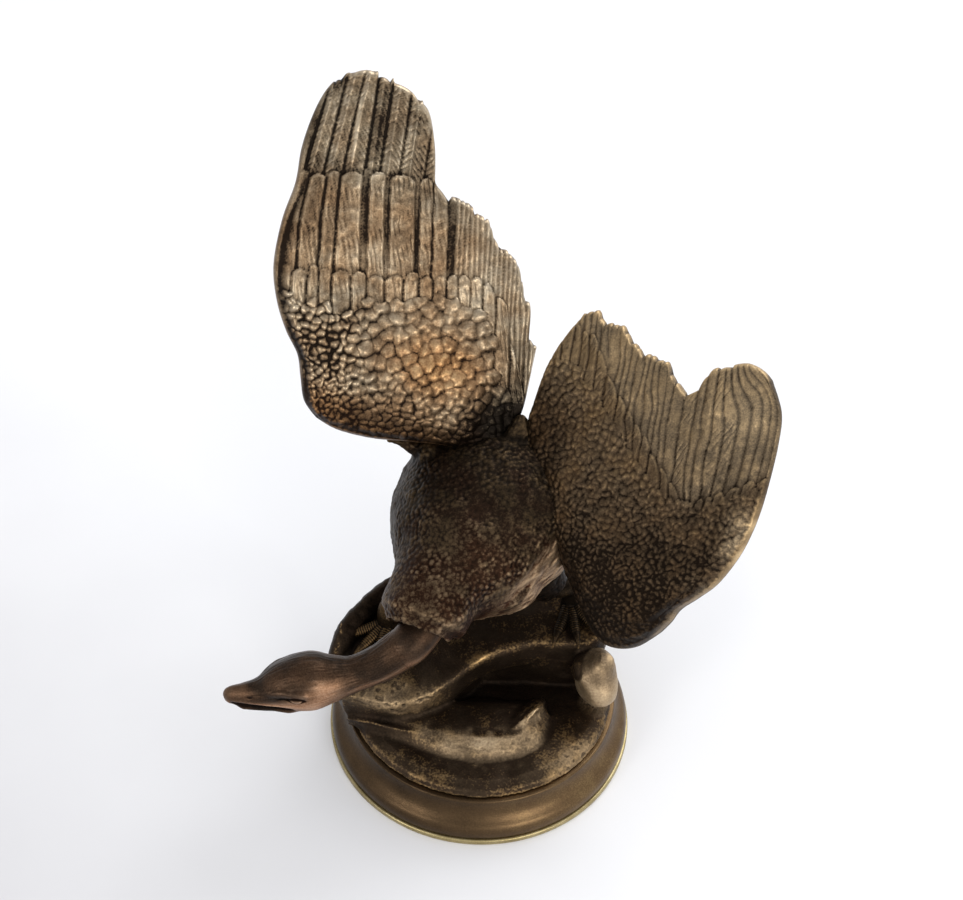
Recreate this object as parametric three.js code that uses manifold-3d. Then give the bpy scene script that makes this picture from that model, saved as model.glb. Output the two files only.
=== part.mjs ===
// Bronze vulture with raised wings on a rock, on a round turned plinth with a brass base plate.
// Millimetres, +Z up. The origin is the centre of the underside. The head reaches towards -X,
// and the bird's back and the upper faces of its wings look towards -Y.

import * as THREE from 'three';
import { mergeVertices } from 'three/addons/utils/BufferGeometryUtils.js';
import Module from 'manifold-3d';

// Clearances
const SEAM = 0.3; // between two castings that meet
const FIT = 0.2; // round screws, studs and pins, and under their heads

// Base plate: a thin disc with a raised register that centres the plinth
const PLATE_THICKNESS = 1.6;
const PLATE_LIP = 0.5; // the plate's edge beyond the plinth's foot
const REGISTER_INSET = 8; // the register's edge inside the plinth's foot
const REGISTER_HEIGHT = 1.6;

// Plinth: a rounded foot, a hollow moulding and a flat rim round the rock's spigot
const PLINTH_HEIGHT = 10;
const PLINTH_RIM = 3.6; // width of the top rim outside the spigot
const PLINTH_FLARE = 3.6; // the foot beyond the top rim
const PLINTH_FOOT_HEIGHT = 3.4;
const PLINTH_FILLET = 0.8; // small ledge between the foot and the hollow
const PLINTH_SEGMENTS = 40;
const MOULDING_DIVISIONS = 5;

// Rock: low ground with a spigot, a tilted slab on a narrower hill, a boulder in front, a side knob
const SPIGOT_RADIUS = 29.5;
const SPIGOT_DEPTH = 3;
const ROCK_INSET = 0.6; // the ground's edge inside the plinth's rim
const ROCK_SEGMENTS = 36;
const SLOPE_DIVISIONS = 3;
const GROUND_HEIGHT = 3.6;
const GROUND_FALL = 8; // width of the ground's sloping edge
const SLAB_HEIGHT = 17.4; // slab's upper face over the plinth's rim, at the axis
const SLAB_THICKNESS = 7;
const SLAB_BEVEL = 1.4;
const SLAB_SLOPE_X = 0.1; // rise per millimetre towards +X
const SLAB_SLOPE_Y = 0.2; // rise per millimetre towards +Y
const SLAB_OUTLINE = [
  [-33, -12.5], [-20, -15.5], [-10, -12], [-3, -6.5], [4, -2.5], [14, -0.5], [26, -1],
  [31.5, 6], [25, 19], [9, 26], [-9, 26], [-24, 19.5], [-33, 9], [-36.5, -3],
];
const HILL_RINGS = [[-1, 1.5], [4, 3], [9, 4.5], [15, 4]]; // height, and how far inside the slab's edge
const BOULDER_RIDGE = [[-25, -10.5], [9, -13.5]];
const BOULDER_RINGS = [[-1, 0], [2, 0.06], [5, 0.28], [6.6, 0.5], [7, 0.75]]; // height, drawn in to the ridge
const BOULDER_OUTLINE = [
  [-32, -11.5], [-20, -20], [-8, -25.5], [3, -26.5], [13, -21.5], [17.5, -12], [13, -5], [-8, -6], [-25, -7],
];
const STAND_Y = 5; // the bird's heights start from the slab's face at this place
const KNOB_CENTRE = [28.3, -5.5, 11]; // height over the plinth's rim
const KNOB_RADII = [5.4, 6.5, 10.5];
const KNOB_FACETS = [16, 10]; // round it, and from top to bottom

// Screws that hold the plate to the plinth, and the rock to the plinth. The inset is measured from
// the register's edge and from the spigot's edge.
const PLATE_SCREW = { count: 3, inset: 4, turn: 20, shank: 1, head: 2.1, headHeight: 1.2, bite: 3 };
const ROCK_SCREW = { count: 3, inset: 12.5, turn: 78, shank: 1.4, head: 2.6, headHeight: 1.8, bite: 5 };
const PLATE_SCREW_RECESS = 0.4; // head below the underside
const SLOT_WIDTH = 0.7;
const SLOT_DEPTH = 0.6;

// Studs, washers and nuts that hold the feet down
const STUD_RADIUS = 1.5;
const STUD_IN_FOOT = 5;
const STUD_END = 0.8; // thread beyond the nut
const NUT_FLATS = 5.5;
const NUT_HEIGHT = 2.4;
const WASHER_RADIUS = 3.5;
const WASHER_THICKNESS = 0.6;
const POCKET_WALL = 0.6; // room round the washer
const POCKET_GAPS = 3; // over the washer, under it and under the stud's end

// Torso: stations from the breast to the rump as [x, y, height, half width, half height],
// with heights measured from where the bird stands
const TORSO = [
  [-15.3, -17.1, 24.5, 8, 7.5], [-14, -14.9, 26, 11, 10], [-11, -9.7, 28, 13, 11.5],
  [-7.2, -1.5, 28, 19.5, 15], [-2.3, 8.3, 28.5, 22, 17.3], [3.2, 17.8, 30.5, 22, 17.5],
  [9.5, 25.8, 31, 17, 14.5], [13.5, 32.7, 30, 11, 10.5], [15.5, 36.2, 29, 7.5, 7.5],
  [16.8, 38.3, 28.4, 3.5, 4],
];

// Right shoulder: the muscle between the back and the raised arm, as for the torso
const RIGHT_SHOULDER = [
  [-2, 13, 31, 12, 12], [-8, 17, 35.5, 10.5, 10], [-13, 20.5, 38.5, 8, 8], [-16, 22, 40.5, 5, 5],
  [-17.5, 23, 41.5, 1.5, 1.5],
];

// Thighs, shanks and toes
const HIP_RADIUS = 8.5;
const KNEE_RADIUS = 6.6;
const HOCK_RADIUS = 4.4;
const SHANK_RADIUS = 2.8;
const SHANK_FOOT = 6.5; // upright stretch of the shank over the stud
const TOE_RADIUS = 1.7;
const TOE_TIP_RADIUS = 1.35;
const TOE_LENGTH = 8.5;
const CLAW_RADIUS = 0.95;
const CLAW_POINT_RADIUS = 0.35;
const CLAW_LENGTH = 3.5;
const CLAW_DROP = 1.6;
const RIGHT_LEG = {
  foot: [-23, 5.5], hock: [-18.5, 9.5, 8.5], knee: [-14.5, 12, 14], hip: [-9, 14, 20],
  toeAngles: [197, 227, 257, 50],
};
const LEFT_LEG = {
  foot: [21, 9.5], hock: [17, 8, 11], knee: [13, 8.5, 15], hip: [8, 10, 20],
  toeAngles: [250, 280, 310, 90],
};

// Head and neck: centreline stations as [x, y, height, half width, half height]
const NECK = [
  [-9, -8, 24.5, 4.6, 4.6], [-15.5, -16.5, 19.6, 4.8, 4.8], [-18.8, -18.2, 17.4, 4.6, 4.6],
  [-22.9, -19.9, 15, 4.3, 4.3], [-28.4, -21.8, 13.4, 4.1, 4.1], [-33, -23, 13, 5.2, 5.4],
  [-38.1, -24, 13, 6.5, 6.9], [-43.8, -25, 12.3, 5.6, 5.9], [-49, -26, 10.9, 3.5, 3.7],
  [-53, -26.2, 10, 2.5, 2.9], [-56, -26.1, 9.6, 1.9, 2.3], [-57.4, -26, 8.6, 0.8, 1.1],
];

// Tail: stations from the rump backwards, as for the torso
const TAIL = [
  [12.5, 31, 29.5, 5.5, 4.2], [16, 37, 27.5, 6.5, 3.6], [19, 42.2, 24.8, 8.5, 2.9],
  [22.5, 48.3, 21.6, 11, 2.2], [26, 54.4, 18.4, 12.5, 1.7], [28, 57.8, 16.8, 12, 1.1],
];

// Facets round a limb, and steps between two of its stations
const TRUNK_FACETS = { sides: 24, steps: 2 };
const TAIL_FACETS = { sides: 20, steps: 2 };
const NECK_FACETS = { sides: 16, steps: 2 };
const THIGH_FACETS = { sides: 14, steps: 2 };
const SHANK_FACETS = { sides: 12, steps: 2 };
const TOE_FACETS = { sides: 8, steps: 1 };

// Wings: the casting's camber, thickness and feathering. An outline lies in a plane through the
// shoulder, as [along the arm, along the feathers], with heights from where the bird stands.
const WING_CAMBER = 2.2;
const SPAN_CAMBER = 1.4; // more camber at mid span
const CAMBER_FORWARD = 0.7; // below 1 the camber peaks nearer the arm
const ARM_THICKNESS = 8.6;
const HAND_THICKNESS = 6;
const FEATHER_THICKNESS = 2;
const EDGE_THICKNESS = 1.6;
const COVERT_STEP = 0.5; // each covert row stands over the next by this
const FEATHER_RELIEF = 0.55;
const FEATHER_SCALLOP = 1.2;
const SCALLOP_POWER = 8; // keeps the scallops near the tips
const FEATHERS = 12;
const COLUMNS_PER_FEATHER = 3;
const COVERT_ROWS = [0.44, 0.7]; // where a covert row ends, from the leading edge (0) to the tips (1)
const CHORD_STATIONS = [0, 0.03, 0.08, 0.15, 0.24, 0.34, 0.43, 0.45, 0.54, 0.63, 0.69, 0.71, 0.8, 0.9, 1];

// Share of the full thickness as [place, share], from the leading edge to the tips, and from the
// body out to the wing's end
const ARM_ACROSS = [[0, 0.2], [0.05, 0.7], [0.14, 1], [0.28, 0.9], [0.45, 0.4], [0.6, 0], [1, 0]];
const ARM_ALONG = [[0, 1], [0.5, 1], [0.88, 1], [1, 0.25]];
const HAND_ACROSS = [[0, 0.3], [0.06, 1], [0.38, 1], [1, 0]];
const HAND_ALONG = [[0, 0], [0.7, 0], [0.85, 0.6], [0.94, 1], [1, 0.25]];

// Each wing's plane and outline
const RIGHT_WING = {
  side: -1,
  shoulder: [-11, 23, 42.5],
  featherway: [0.297, 0.519, 0.801],
  upper: [0.154, -0.854, 0.496],
  arm: [[-12, -5], [-3, 0], [7, -1.3], [16.5, -3.2], [25, -2.7], [31.5, -0.8]],
  outer: [[31.5, -0.8], [36.5, 6.8], [39, 11], [46, 20.5], [50, 33], [50.5, 48], [51.2, 60], [48.4, 71]],
  tips: [
    [-13.4, 28.2], [-9.2, 35.1], [-3.8, 43], [3.3, 47.8], [10, 52.4], [20.8, 56.5], [23, 61.5], [27, 69.5],
    [33, 75], [40, 76], [48.4, 71],
  ],
  inner: [[-12, -5], [-14, 6], [-14.8, 14], [-14.2, 21], [-13.4, 28.2]],
};
const LEFT_WING = {
  side: 1,
  shoulder: [15.3, 7.3, 31.7],
  featherway: [0.144, 0.651, 0.745],
  upper: [-0.509, -0.597, 0.62],
  arm: [[-9, 4], [0, -1], [8.3, -12.2], [15, -20.3], [20, -22.7], [26, -21.3], [31.7, -16.7]],
  outer: [[31.7, -16.7], [35.2, -10.5], [42, -4.3], [46.5, 4], [49.3, 15.5], [50.4, 29.8], [47.2, 41.2]],
  tips: [
    [-3.2, 49.7], [2.5, 50.3], [9, 47.4], [16, 43.6], [22, 40.7], [26.3, 36.2], [30, 40.5], [35.2, 44.2],
    [41, 44.8], [47.2, 41.2],
  ],
  inner: [[-9, 4], [-10.5, 16], [-10, 27], [-8, 39], [-3.2, 49.7]],
};

// Sleeve joints between the castings: a tenon in a socket, locked by a dowel along the same axis.
// The seat is where the tenon enters its carrier, and inward points into the carrier.
const TENON_ROOT = 4; // tenon inside its own casting
const TENON_SIDES = 12;
const NECK_JOINT = {
  seat: [-15.5, -16.5, 19.6], inward: [0.56, 0.73, 0.4], radius: 3.2, length: 7, pin: 1.2,
};
const RIGHT_WING_JOINT = {
  seat: [-5, 24, 41.5], inward: [0.42, -0.48, -0.77], radius: 3.4, length: 8, pin: 1.5,
};
const LEFT_WING_JOINT = {
  seat: [18.5, 5.5, 32.5], inward: [-0.83, 0.48, -0.28], radius: 3.4, length: 8, pin: 1.5,
};
const TAIL_JOINT = {
  seat: [16.4, 37.7, 27.3], inward: [-0.46, -0.8, 0.38], radius: 2.4, length: 6, pin: 1,
};
const LEG_JOINT = { radius: 1.9, length: 5, pin: 0.8 };
const PIN_IN_TENON = 4;
const PIN_BEYOND = 5;

// Places that follow from the sizes above
const PLINTH_TOP_RADIUS = SPIGOT_RADIUS + SEAM + PLINTH_RIM;
const PLINTH_FOOT_RADIUS = PLINTH_TOP_RADIUS + PLINTH_FLARE;
const PLATE_RADIUS = PLINTH_FOOT_RADIUS + PLATE_LIP;
const REGISTER_RADIUS = PLINTH_FOOT_RADIUS - REGISTER_INSET;
const PLATE_SCREW_CIRCLE = REGISTER_RADIUS - PLATE_SCREW.inset;
const ROCK_SCREW_CIRCLE = SPIGOT_RADIUS - ROCK_SCREW.inset;
const RIM_LEVEL = PLATE_THICKNESS + PLINTH_HEIGHT;
const WEB_UNDERSIDE = PLATE_THICKNESS + REGISTER_HEIGHT + SEAM;
const SPIGOT_LEVEL = RIM_LEVEL - SPIGOT_DEPTH;
const ROCK_RADIUS = PLINTH_TOP_RADIUS - ROCK_INSET;
const STAND_LEVEL = slabTop(0, STAND_Y);

const UP = new THREE.Vector3(0, 0, 1);
const FORWARD = new THREE.Vector3(0, -1, 0);
const BRONZE = { color: 0x5a3f24, roughness: 0.42, metalness: 0.9 };
const WORN_BRONZE = { color: 0x7d5c31, roughness: 0.38, metalness: 0.9 };
const ROCK_BRONZE = { color: 0x3d2c1a, roughness: 0.5, metalness: 0.85 };
const BRASS = { color: 0xb08d48, roughness: 0.3, metalness: 1 };
const STEEL = { color: 0x8b8b88, roughness: 0.4, metalness: 1 };

const wasm = await Module();
wasm.setup();

// Height of the slab's upper face at a place on the rock
function slabTop(x, y) {
  return RIM_LEVEL + SLAB_HEIGHT + SLAB_SLOPE_X * x + SLAB_SLOPE_Y * y;
}

function vector([x, y, z]) {
  return new THREE.Vector3(x, y, z);
}

function moved(point, direction, distance) {
  return point.clone().addScaledVector(direction, distance);
}

// Solids: a closed geometry goes in, joins and cuts are made, and a geometry comes out
function solid(geometry) {
  const plain = geometry.clone();
  plain.deleteAttribute('normal');
  plain.deleteAttribute('uv');
  const merged = mergeVertices(plain);
  const corners = merged.index.array;
  const triangles = [];
  for (let i = 0; i < corners.length; i += 3) {
    const [a, b, c] = corners.slice(i, i + 3);
    if (a !== b && b !== c && c !== a) triangles.push(a, b, c);
  }
  return new wasm.Manifold(new wasm.Mesh({
    numProp: 3,
    vertProperties: merged.attributes.position.array,
    triVerts: new Uint32Array(triangles),
  }));
}

function joined(...geometries) {
  return geometries.map(solid).reduce((whole, piece) => whole.add(piece));
}

function cut(body, ...geometries) {
  return geometries.map(solid).reduce((left, piece) => left.subtract(piece), body);
}

function geometryOf(body) {
  const mesh = body.getMesh();
  const geometry = new THREE.BufferGeometry();
  geometry.setAttribute('position', new THREE.BufferAttribute(mesh.vertProperties, 3));
  geometry.setIndex(new THREE.BufferAttribute(mesh.triVerts, 1));
  geometry.computeVertexNormals();
  return geometry;
}

// A geometry from points and triangles, turned so that its faces look out
function closedGeometry(points, triangles) {
  let volume = 0;
  for (let i = 0; i < triangles.length; i += 3) {
    const [a, b, c] = triangles.slice(i, i + 3).map((corner) => points[corner]);
    volume += a.dot(b.clone().cross(c));
  }
  const index = volume < 0 ? triangles.slice().reverse() : triangles;
  const geometry = new THREE.BufferGeometry().setFromPoints(points);
  geometry.setIndex(index);
  return geometry;
}

// Skin over rings of points, closed by a fan at each end
function loft(rings) {
  const sides = rings[0].length;
  const points = rings.flat();
  const triangles = [];
  for (let i = 0; i + 1 < rings.length; i++) {
    for (let j = 0; j < sides; j++) {
      const a = i * sides + j;
      const b = i * sides + (j + 1) % sides;
      triangles.push(a, b, a + sides, b, b + sides, a + sides);
    }
  }
  const first = points.length;
  const last = first + 1;
  const tail = (rings.length - 1) * sides;
  points.push(middle(rings[0]), middle(rings[rings.length - 1]));
  for (let j = 0; j < sides; j++) {
    const k = (j + 1) % sides;
    triangles.push(first, k, j, last, tail + j, tail + k);
  }
  return closedGeometry(points, triangles);
}

function middle(ring) {
  const sum = ring.reduce((total, point) => total.add(point), new THREE.Vector3());
  return sum.divideScalar(ring.length);
}

// A limb of elliptical sections through stations [x, y, z, half width, half height]
function limb(stations, { sides, steps, grow = 0, top = UP }) {
  const line = new THREE.CatmullRomCurve3(stations.map(vector));
  const sizes = new THREE.SplineCurve(stations.map(([, , , wide, high]) => new THREE.Vector2(wide, high)));
  const count = (stations.length - 1) * steps;
  const rings = [];
  for (let i = 0; i <= count; i++) {
    const centre = line.getPoint(i / count);
    const along = line.getTangent(i / count);
    const across = new THREE.Vector3().crossVectors(along, top).normalize();
    const over = new THREE.Vector3().crossVectors(across, along);
    const size = sizes.getPoint(i / count);
    const ring = [];
    for (let j = 0; j < sides; j++) {
      const angle = (2 * Math.PI * j) / sides;
      const point = moved(centre, across, (size.x + grow) * Math.cos(angle));
      ring.push(point.addScaledVector(over, (size.y + grow) * Math.sin(angle)));
    }
    rings.push(ring);
  }
  return loft(rings);
}

function rod(from, to, radius, sides = TENON_SIDES) {
  const along = to.clone().sub(from);
  const geometry = new THREE.CylinderGeometry(radius, radius, along.length(), sides);
  geometry.translate(0, along.length() / 2, 0);
  geometry.applyQuaternion(new THREE.Quaternion().setFromUnitVectors(
    new THREE.Vector3(0, 1, 0), along.clone().normalize()));
  return geometry.translate(from.x, from.y, from.z);
}

function uprightRod(x, y, bottom, top, radius, sides = TENON_SIDES) {
  return rod(new THREE.Vector3(x, y, bottom), new THREE.Vector3(x, y, top), radius, sides);
}

// A turned body: profile points as [radius, height], on the axis at both ends
function turned(profile, segments) {
  const points = profile.map(([radius, height]) => new THREE.Vector2(radius, height));
  return new THREE.LatheGeometry(points, segments).rotateX(Math.PI / 2);
}

function bend([x1, y1], [x2, y2], [x3, y3], divisions) {
  const from = new THREE.Vector2(x1, y1);
  const curve = new THREE.QuadraticBezierCurve(from, new THREE.Vector2(x2, y2), new THREE.Vector2(x3, y3));
  return curve.getPoints(divisions).map((point) => [point.x, point.y]);
}

function piece(name, geometry, finish) {
  const mesh = new THREE.Mesh(geometry, new THREE.MeshStandardMaterial(finish));
  mesh.name = name;
  return mesh;
}

// The parts of a sleeve joint, all along one axis
function sleeve({ seat, inward, radius, length, pin }) {
  const start = vector(seat);
  const axis = vector(inward).normalize();
  const root = moved(start, axis, -TENON_ROOT);
  const pinStart = length - PIN_IN_TENON;
  const pinEnd = length + PIN_BEYOND;
  return {
    tenon: rod(root, moved(start, axis, length), radius),
    socket: rod(root, moved(start, axis, length + SEAM), radius + SEAM),
    pin: rod(moved(start, axis, pinStart), moved(start, axis, pinEnd), pin),
    pinHole: rod(moved(start, axis, pinStart - FIT), moved(start, axis, pinEnd + FIT), pin + FIT),
  };
}

// Screws stand with the head down and the shank up
function screwPlaces({ count, turn }, circle) {
  const places = [];
  for (let i = 0; i < count; i++) {
    const angle = THREE.MathUtils.degToRad(turn) + (2 * Math.PI * i) / count;
    places.push([circle * Math.cos(angle), circle * Math.sin(angle)]);
  }
  return places;
}

function screw({ shank, head, headHeight }, length) {
  const body = joined(
    uprightRod(0, 0, 0, headHeight, head),
    uprightRod(0, 0, headHeight / 2, headHeight + length, shank),
  );
  const slot = new THREE.BoxGeometry(4 * head, SLOT_WIDTH, 2 * SLOT_DEPTH);
  return geometryOf(cut(body, slot));
}

function screwHole(x, y, headEnd, shankEnd, { shank, head, headHeight }, mouth) {
  return geometryOf(joined(
    uprightRod(x, y, mouth, headEnd + headHeight + FIT, head + FIT),
    uprightRod(x, y, headEnd, shankEnd + FIT, shank + FIT),
  ));
}

const plateHeadLevel = PLATE_SCREW_RECESS;
const plateShankEnd = WEB_UNDERSIDE + PLATE_SCREW.bite;
const rockHeadLevel = WEB_UNDERSIDE + SEAM;
const rockShankEnd = SPIGOT_LEVEL + ROCK_SCREW.bite;
const platePlaces = screwPlaces(PLATE_SCREW, PLATE_SCREW_CIRCLE);
const rockPlaces = screwPlaces(ROCK_SCREW, ROCK_SCREW_CIRCLE);
const plateScrewHoles = platePlaces.map(
  ([x, y]) => screwHole(x, y, plateHeadLevel, plateShankEnd, PLATE_SCREW, -PLATE_THICKNESS));
const rockScrewHoles = rockPlaces.map(
  ([x, y]) => screwHole(x, y, rockHeadLevel, rockShankEnd, ROCK_SCREW, PLATE_THICKNESS));

function basePlate() {
  const top = PLATE_THICKNESS + REGISTER_HEIGHT;
  const disc = turned([
    [0, 0], [PLATE_RADIUS - PLATE_LIP / 2, 0], [PLATE_RADIUS, PLATE_LIP / 2],
    [PLATE_RADIUS, PLATE_THICKNESS - PLATE_LIP / 2], [PLATE_RADIUS - PLATE_LIP / 2, PLATE_THICKNESS],
    [REGISTER_RADIUS, PLATE_THICKNESS], [REGISTER_RADIUS, top], [0, top],
  ], PLINTH_SEGMENTS);
  return geometryOf(cut(solid(disc), ...plateScrewHoles));
}

function plinth() {
  const footTop = PLATE_THICKNESS + PLINTH_FOOT_HEIGHT;
  const ledge = PLINTH_FOOT_RADIUS - PLINTH_FILLET;
  const foot = bend(
    [ledge, PLATE_THICKNESS + SEAM], [PLINTH_FOOT_RADIUS + PLINTH_FILLET, (PLATE_THICKNESS + footTop) / 2],
    [ledge, footTop], MOULDING_DIVISIONS);
  const hollow = bend(
    [ledge - PLINTH_FILLET / 2, footTop], [PLINTH_TOP_RADIUS, footTop + PLINTH_FILLET],
    [PLINTH_TOP_RADIUS, RIM_LEVEL - PLINTH_FILLET], MOULDING_DIVISIONS);
  const body = turned([
    [0, WEB_UNDERSIDE], [REGISTER_RADIUS + SEAM, WEB_UNDERSIDE],
    [REGISTER_RADIUS + SEAM, PLATE_THICKNESS + SEAM], ...foot, ...hollow,
    [PLINTH_TOP_RADIUS - PLINTH_FILLET / 2, RIM_LEVEL],
    [SPIGOT_RADIUS + SEAM, RIM_LEVEL], [SPIGOT_RADIUS + SEAM, SPIGOT_LEVEL - SEAM], [0, SPIGOT_LEVEL - SEAM],
  ], PLINTH_SEGMENTS);
  return geometryOf(cut(solid(body), ...plateScrewHoles, ...rockScrewHoles));
}

function outlinePoints(outline) {
  const corners = [...outline, outline[0]].map(([x, y]) => new THREE.Vector2(x, y));
  return new THREE.SplineCurve(corners).getPoints(2 * outline.length).slice(1);
}

// A flat stone with bevelled edges, thick downwards from its upper face at z = 0
function flatStone(outline, thickness, bevel, grow) {
  const geometry = new THREE.ExtrudeGeometry(new THREE.Shape(outlinePoints(outline)), {
    depth: thickness - bevel, bevelThickness: bevel, bevelSize: bevel, bevelOffset: grow - bevel,
    bevelSegments: 2,
  });
  return geometry.translate(0, 0, -thickness);
}

// The narrower rock under the slab: rings of the slab's outline, each drawn in towards the axis
function hill() {
  const outline = outlinePoints(SLAB_OUTLINE);
  return loft(HILL_RINGS.map(([height, inset]) => outline.map((point) => {
    const place = point.clone().setLength(point.length() - inset);
    const tilt = SLAB_SLOPE_X * place.x + SLAB_SLOPE_Y * place.y;
    return new THREE.Vector3(place.x, place.y, RIM_LEVEL + height + tilt);
  })));
}

// A rounded stone: rings of its outline, each higher and drawn in towards a ridge
function boulder() {
  const [from, to] = BOULDER_RIDGE.map(([x, y]) => new THREE.Vector3(x, y, 0));
  const ridge = new THREE.Line3(from, to);
  const outline = outlinePoints(BOULDER_OUTLINE).map(({ x, y }) => new THREE.Vector3(x, y, 0));
  return loft(BOULDER_RINGS.map(([height, draw]) => outline.map((point) => {
    const target = ridge.closestPointToPoint(point, true, new THREE.Vector3());
    return target.lerp(point, 1 - draw).setZ(RIM_LEVEL + height);
  })));
}

function rock(grow = 0) {
  const seat = RIM_LEVEL + SEAM;
  const edge = ROCK_RADIUS + grow;
  const crown = RIM_LEVEL + GROUND_HEIGHT + grow;
  const slope = bend([edge, seat], [edge, crown - grow], [edge - GROUND_FALL, crown], SLOPE_DIVISIONS);
  const ground = turned([[0, SPIGOT_LEVEL], [edge, SPIGOT_LEVEL], ...slope, [0, crown]], ROCK_SEGMENTS);
  const tilt = new THREE.Matrix4().makeShear(0, SLAB_SLOPE_X, 0, SLAB_SLOPE_Y, 0, 0);
  const slab = flatStone(SLAB_OUTLINE, SLAB_THICKNESS, SLAB_BEVEL, grow);
  slab.applyMatrix4(tilt).translate(0, 0, slabTop(0, 0) + grow);
  const knob = new THREE.SphereGeometry(1, ...KNOB_FACETS);
  knob.scale(KNOB_RADII[0] + grow, KNOB_RADII[1] + grow, KNOB_RADII[2] + grow);
  knob.translate(KNOB_CENTRE[0], KNOB_CENTRE[1], RIM_LEVEL + KNOB_CENTRE[2]);
  const below = new THREE.BoxGeometry(4 * ROCK_RADIUS, 4 * ROCK_RADIUS, 2 * RIM_LEVEL);
  below.translate(0, 0, seat - RIM_LEVEL);
  const spigot = uprightRod(0, 0, SPIGOT_LEVEL, RIM_LEVEL + GROUND_HEIGHT / 2, SPIGOT_RADIUS, ROCK_SEGMENTS);
  return cut(joined(ground, slab, hill(), boulder(), knob), below).add(solid(spigot));
}

// Fixings of one foot, in the frame of the whole object
const pocketDepth = WASHER_THICKNESS + NUT_HEIGHT + STUD_END + POCKET_GAPS * FIT;
const washerLevel = SPIGOT_LEVEL + pocketDepth - FIT - WASHER_THICKNESS;
const nutLevel = washerLevel - FIT - NUT_HEIGHT;
const studStart = nutLevel - STUD_END;

function studEnd([x, y]) {
  return slabTop(x, y) + STUD_IN_FOOT;
}

function footHoles([x, y]) {
  return [
    uprightRod(x, y, SPIGOT_LEVEL - SEAM, SPIGOT_LEVEL + pocketDepth, WASHER_RADIUS + POCKET_WALL),
    uprightRod(x, y, studStart, studEnd([x, y]) + FIT, STUD_RADIUS + FIT),
  ];
}

function footFixings(name, [x, y]) {
  const hole = uprightRod(0, 0, -NUT_HEIGHT, 2 * NUT_HEIGHT, STUD_RADIUS + FIT);
  const stud = piece(`${name}_stud`, uprightRod(0, 0, studStart, studEnd([x, y]), STUD_RADIUS), STEEL);
  stud.position.set(x, y, 0);
  const disc = uprightRod(0, 0, 0, WASHER_THICKNESS, WASHER_RADIUS);
  const washer = piece(`${name}_washer`, geometryOf(cut(solid(disc), hole)), STEEL);
  washer.position.set(x, y, washerLevel);
  const hexagon = uprightRod(0, 0, 0, NUT_HEIGHT, NUT_FLATS / Math.sqrt(3), 6);
  const nut = piece(`${name}_nut`, geometryOf(cut(solid(hexagon), hole)), STEEL);
  nut.position.set(x, y, nutLevel);
  return [stud, washer, nut];
}

// Torso and what joins it
function legJoint({ hock, knee }) {
  const inward = vector(knee).sub(vector(hock)).normalize();
  return sleeve({ seat: hock, inward: inward.toArray(), ...LEG_JOINT });
}

function torsoBody(grow = 0) {
  const trunk = limb(TORSO, { ...TRUNK_FACETS, grow });
  const shoulder = limb(RIGHT_SHOULDER, { ...THIGH_FACETS, grow });
  const thighs = [RIGHT_LEG, LEFT_LEG].map(({ hip, knee, hock }) => limb([
    [...hip, HIP_RADIUS, HIP_RADIUS],
    [...knee, KNEE_RADIUS, KNEE_RADIUS],
    [...hock, HOCK_RADIUS, HOCK_RADIUS],
  ], { ...THIGH_FACETS, grow, top: FORWARD }));
  return joined(trunk, shoulder, ...thighs);
}

const torsoGrown = torsoBody(SEAM);
const joints = {
  neck: sleeve(NECK_JOINT),
  rightWing: sleeve(RIGHT_WING_JOINT),
  leftWing: sleeve(LEFT_WING_JOINT),
  tail: sleeve(TAIL_JOINT),
  rightLeg: legJoint(RIGHT_LEG),
  leftLeg: legJoint(LEFT_LEG),
};

function torso() {
  const holes = Object.values(joints).flatMap(({ socket, pinHole }) => [socket, pinHole]);
  return geometryOf(cut(torsoBody(), ...holes));
}

// A casting that meets the torso: cut back to the seam, then given its tenon
function joinedToTorso(geometry, { tenon, pinHole }) {
  const body = solid(geometry).subtract(torsoGrown).add(solid(tenon));
  return geometryOf(cut(body, pinHole));
}

function headAndNeck() {
  return joinedToTorso(limb(NECK, NECK_FACETS), joints.neck);
}

function tailFan() {
  return joinedToTorso(limb(TAIL, TAIL_FACETS), joints.tail);
}

// One toe with its claw, out from the foot at an angle over the slab
function toe([x, y], degrees) {
  const angle = THREE.MathUtils.degToRad(degrees);
  const at = (distance, height, radius) => {
    const px = x + distance * Math.cos(angle);
    const py = y + distance * Math.sin(angle);
    return [px, py, slabTop(px, py) - STAND_LEVEL + height, radius, radius];
  };
  return limb([
    at(0, TOE_RADIUS, TOE_RADIUS), at(TOE_LENGTH / 2, TOE_RADIUS, TOE_RADIUS),
    at(TOE_LENGTH, TOE_RADIUS, TOE_TIP_RADIUS),
    at(TOE_LENGTH + CLAW_LENGTH / 2, TOE_RADIUS, CLAW_RADIUS),
    at(TOE_LENGTH + CLAW_LENGTH, TOE_RADIUS - CLAW_DROP, CLAW_POINT_RADIUS),
  ], TOE_FACETS);
}

const rockGrown = geometryOf(rock(SEAM)).translate(0, 0, -STAND_LEVEL);

function foot(leg, { tenon, pinHole }) {
  const [x, y] = leg.foot;
  const ground = slabTop(x, y) - STAND_LEVEL;
  const shank = limb([
    [x, y, ground - SEAM, SHANK_RADIUS, SHANK_RADIUS],
    [x, y, ground + SHANK_FOOT, SHANK_RADIUS, SHANK_RADIUS],
    [...leg.hock, SHANK_RADIUS, SHANK_RADIUS],
    [...leg.knee, SHANK_RADIUS, SHANK_RADIUS],
  ], { ...SHANK_FACETS, top: FORWARD });
  const toes = leg.toeAngles.map((degrees) => toe(leg.foot, degrees));
  const body = joined(shank, ...toes).subtract(torsoGrown).add(solid(tenon));
  const studHole = footHoles(leg.foot)[1].translate(0, 0, -STAND_LEVEL);
  return geometryOf(cut(body, rockGrown, pinHole, studHole));
}

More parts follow.
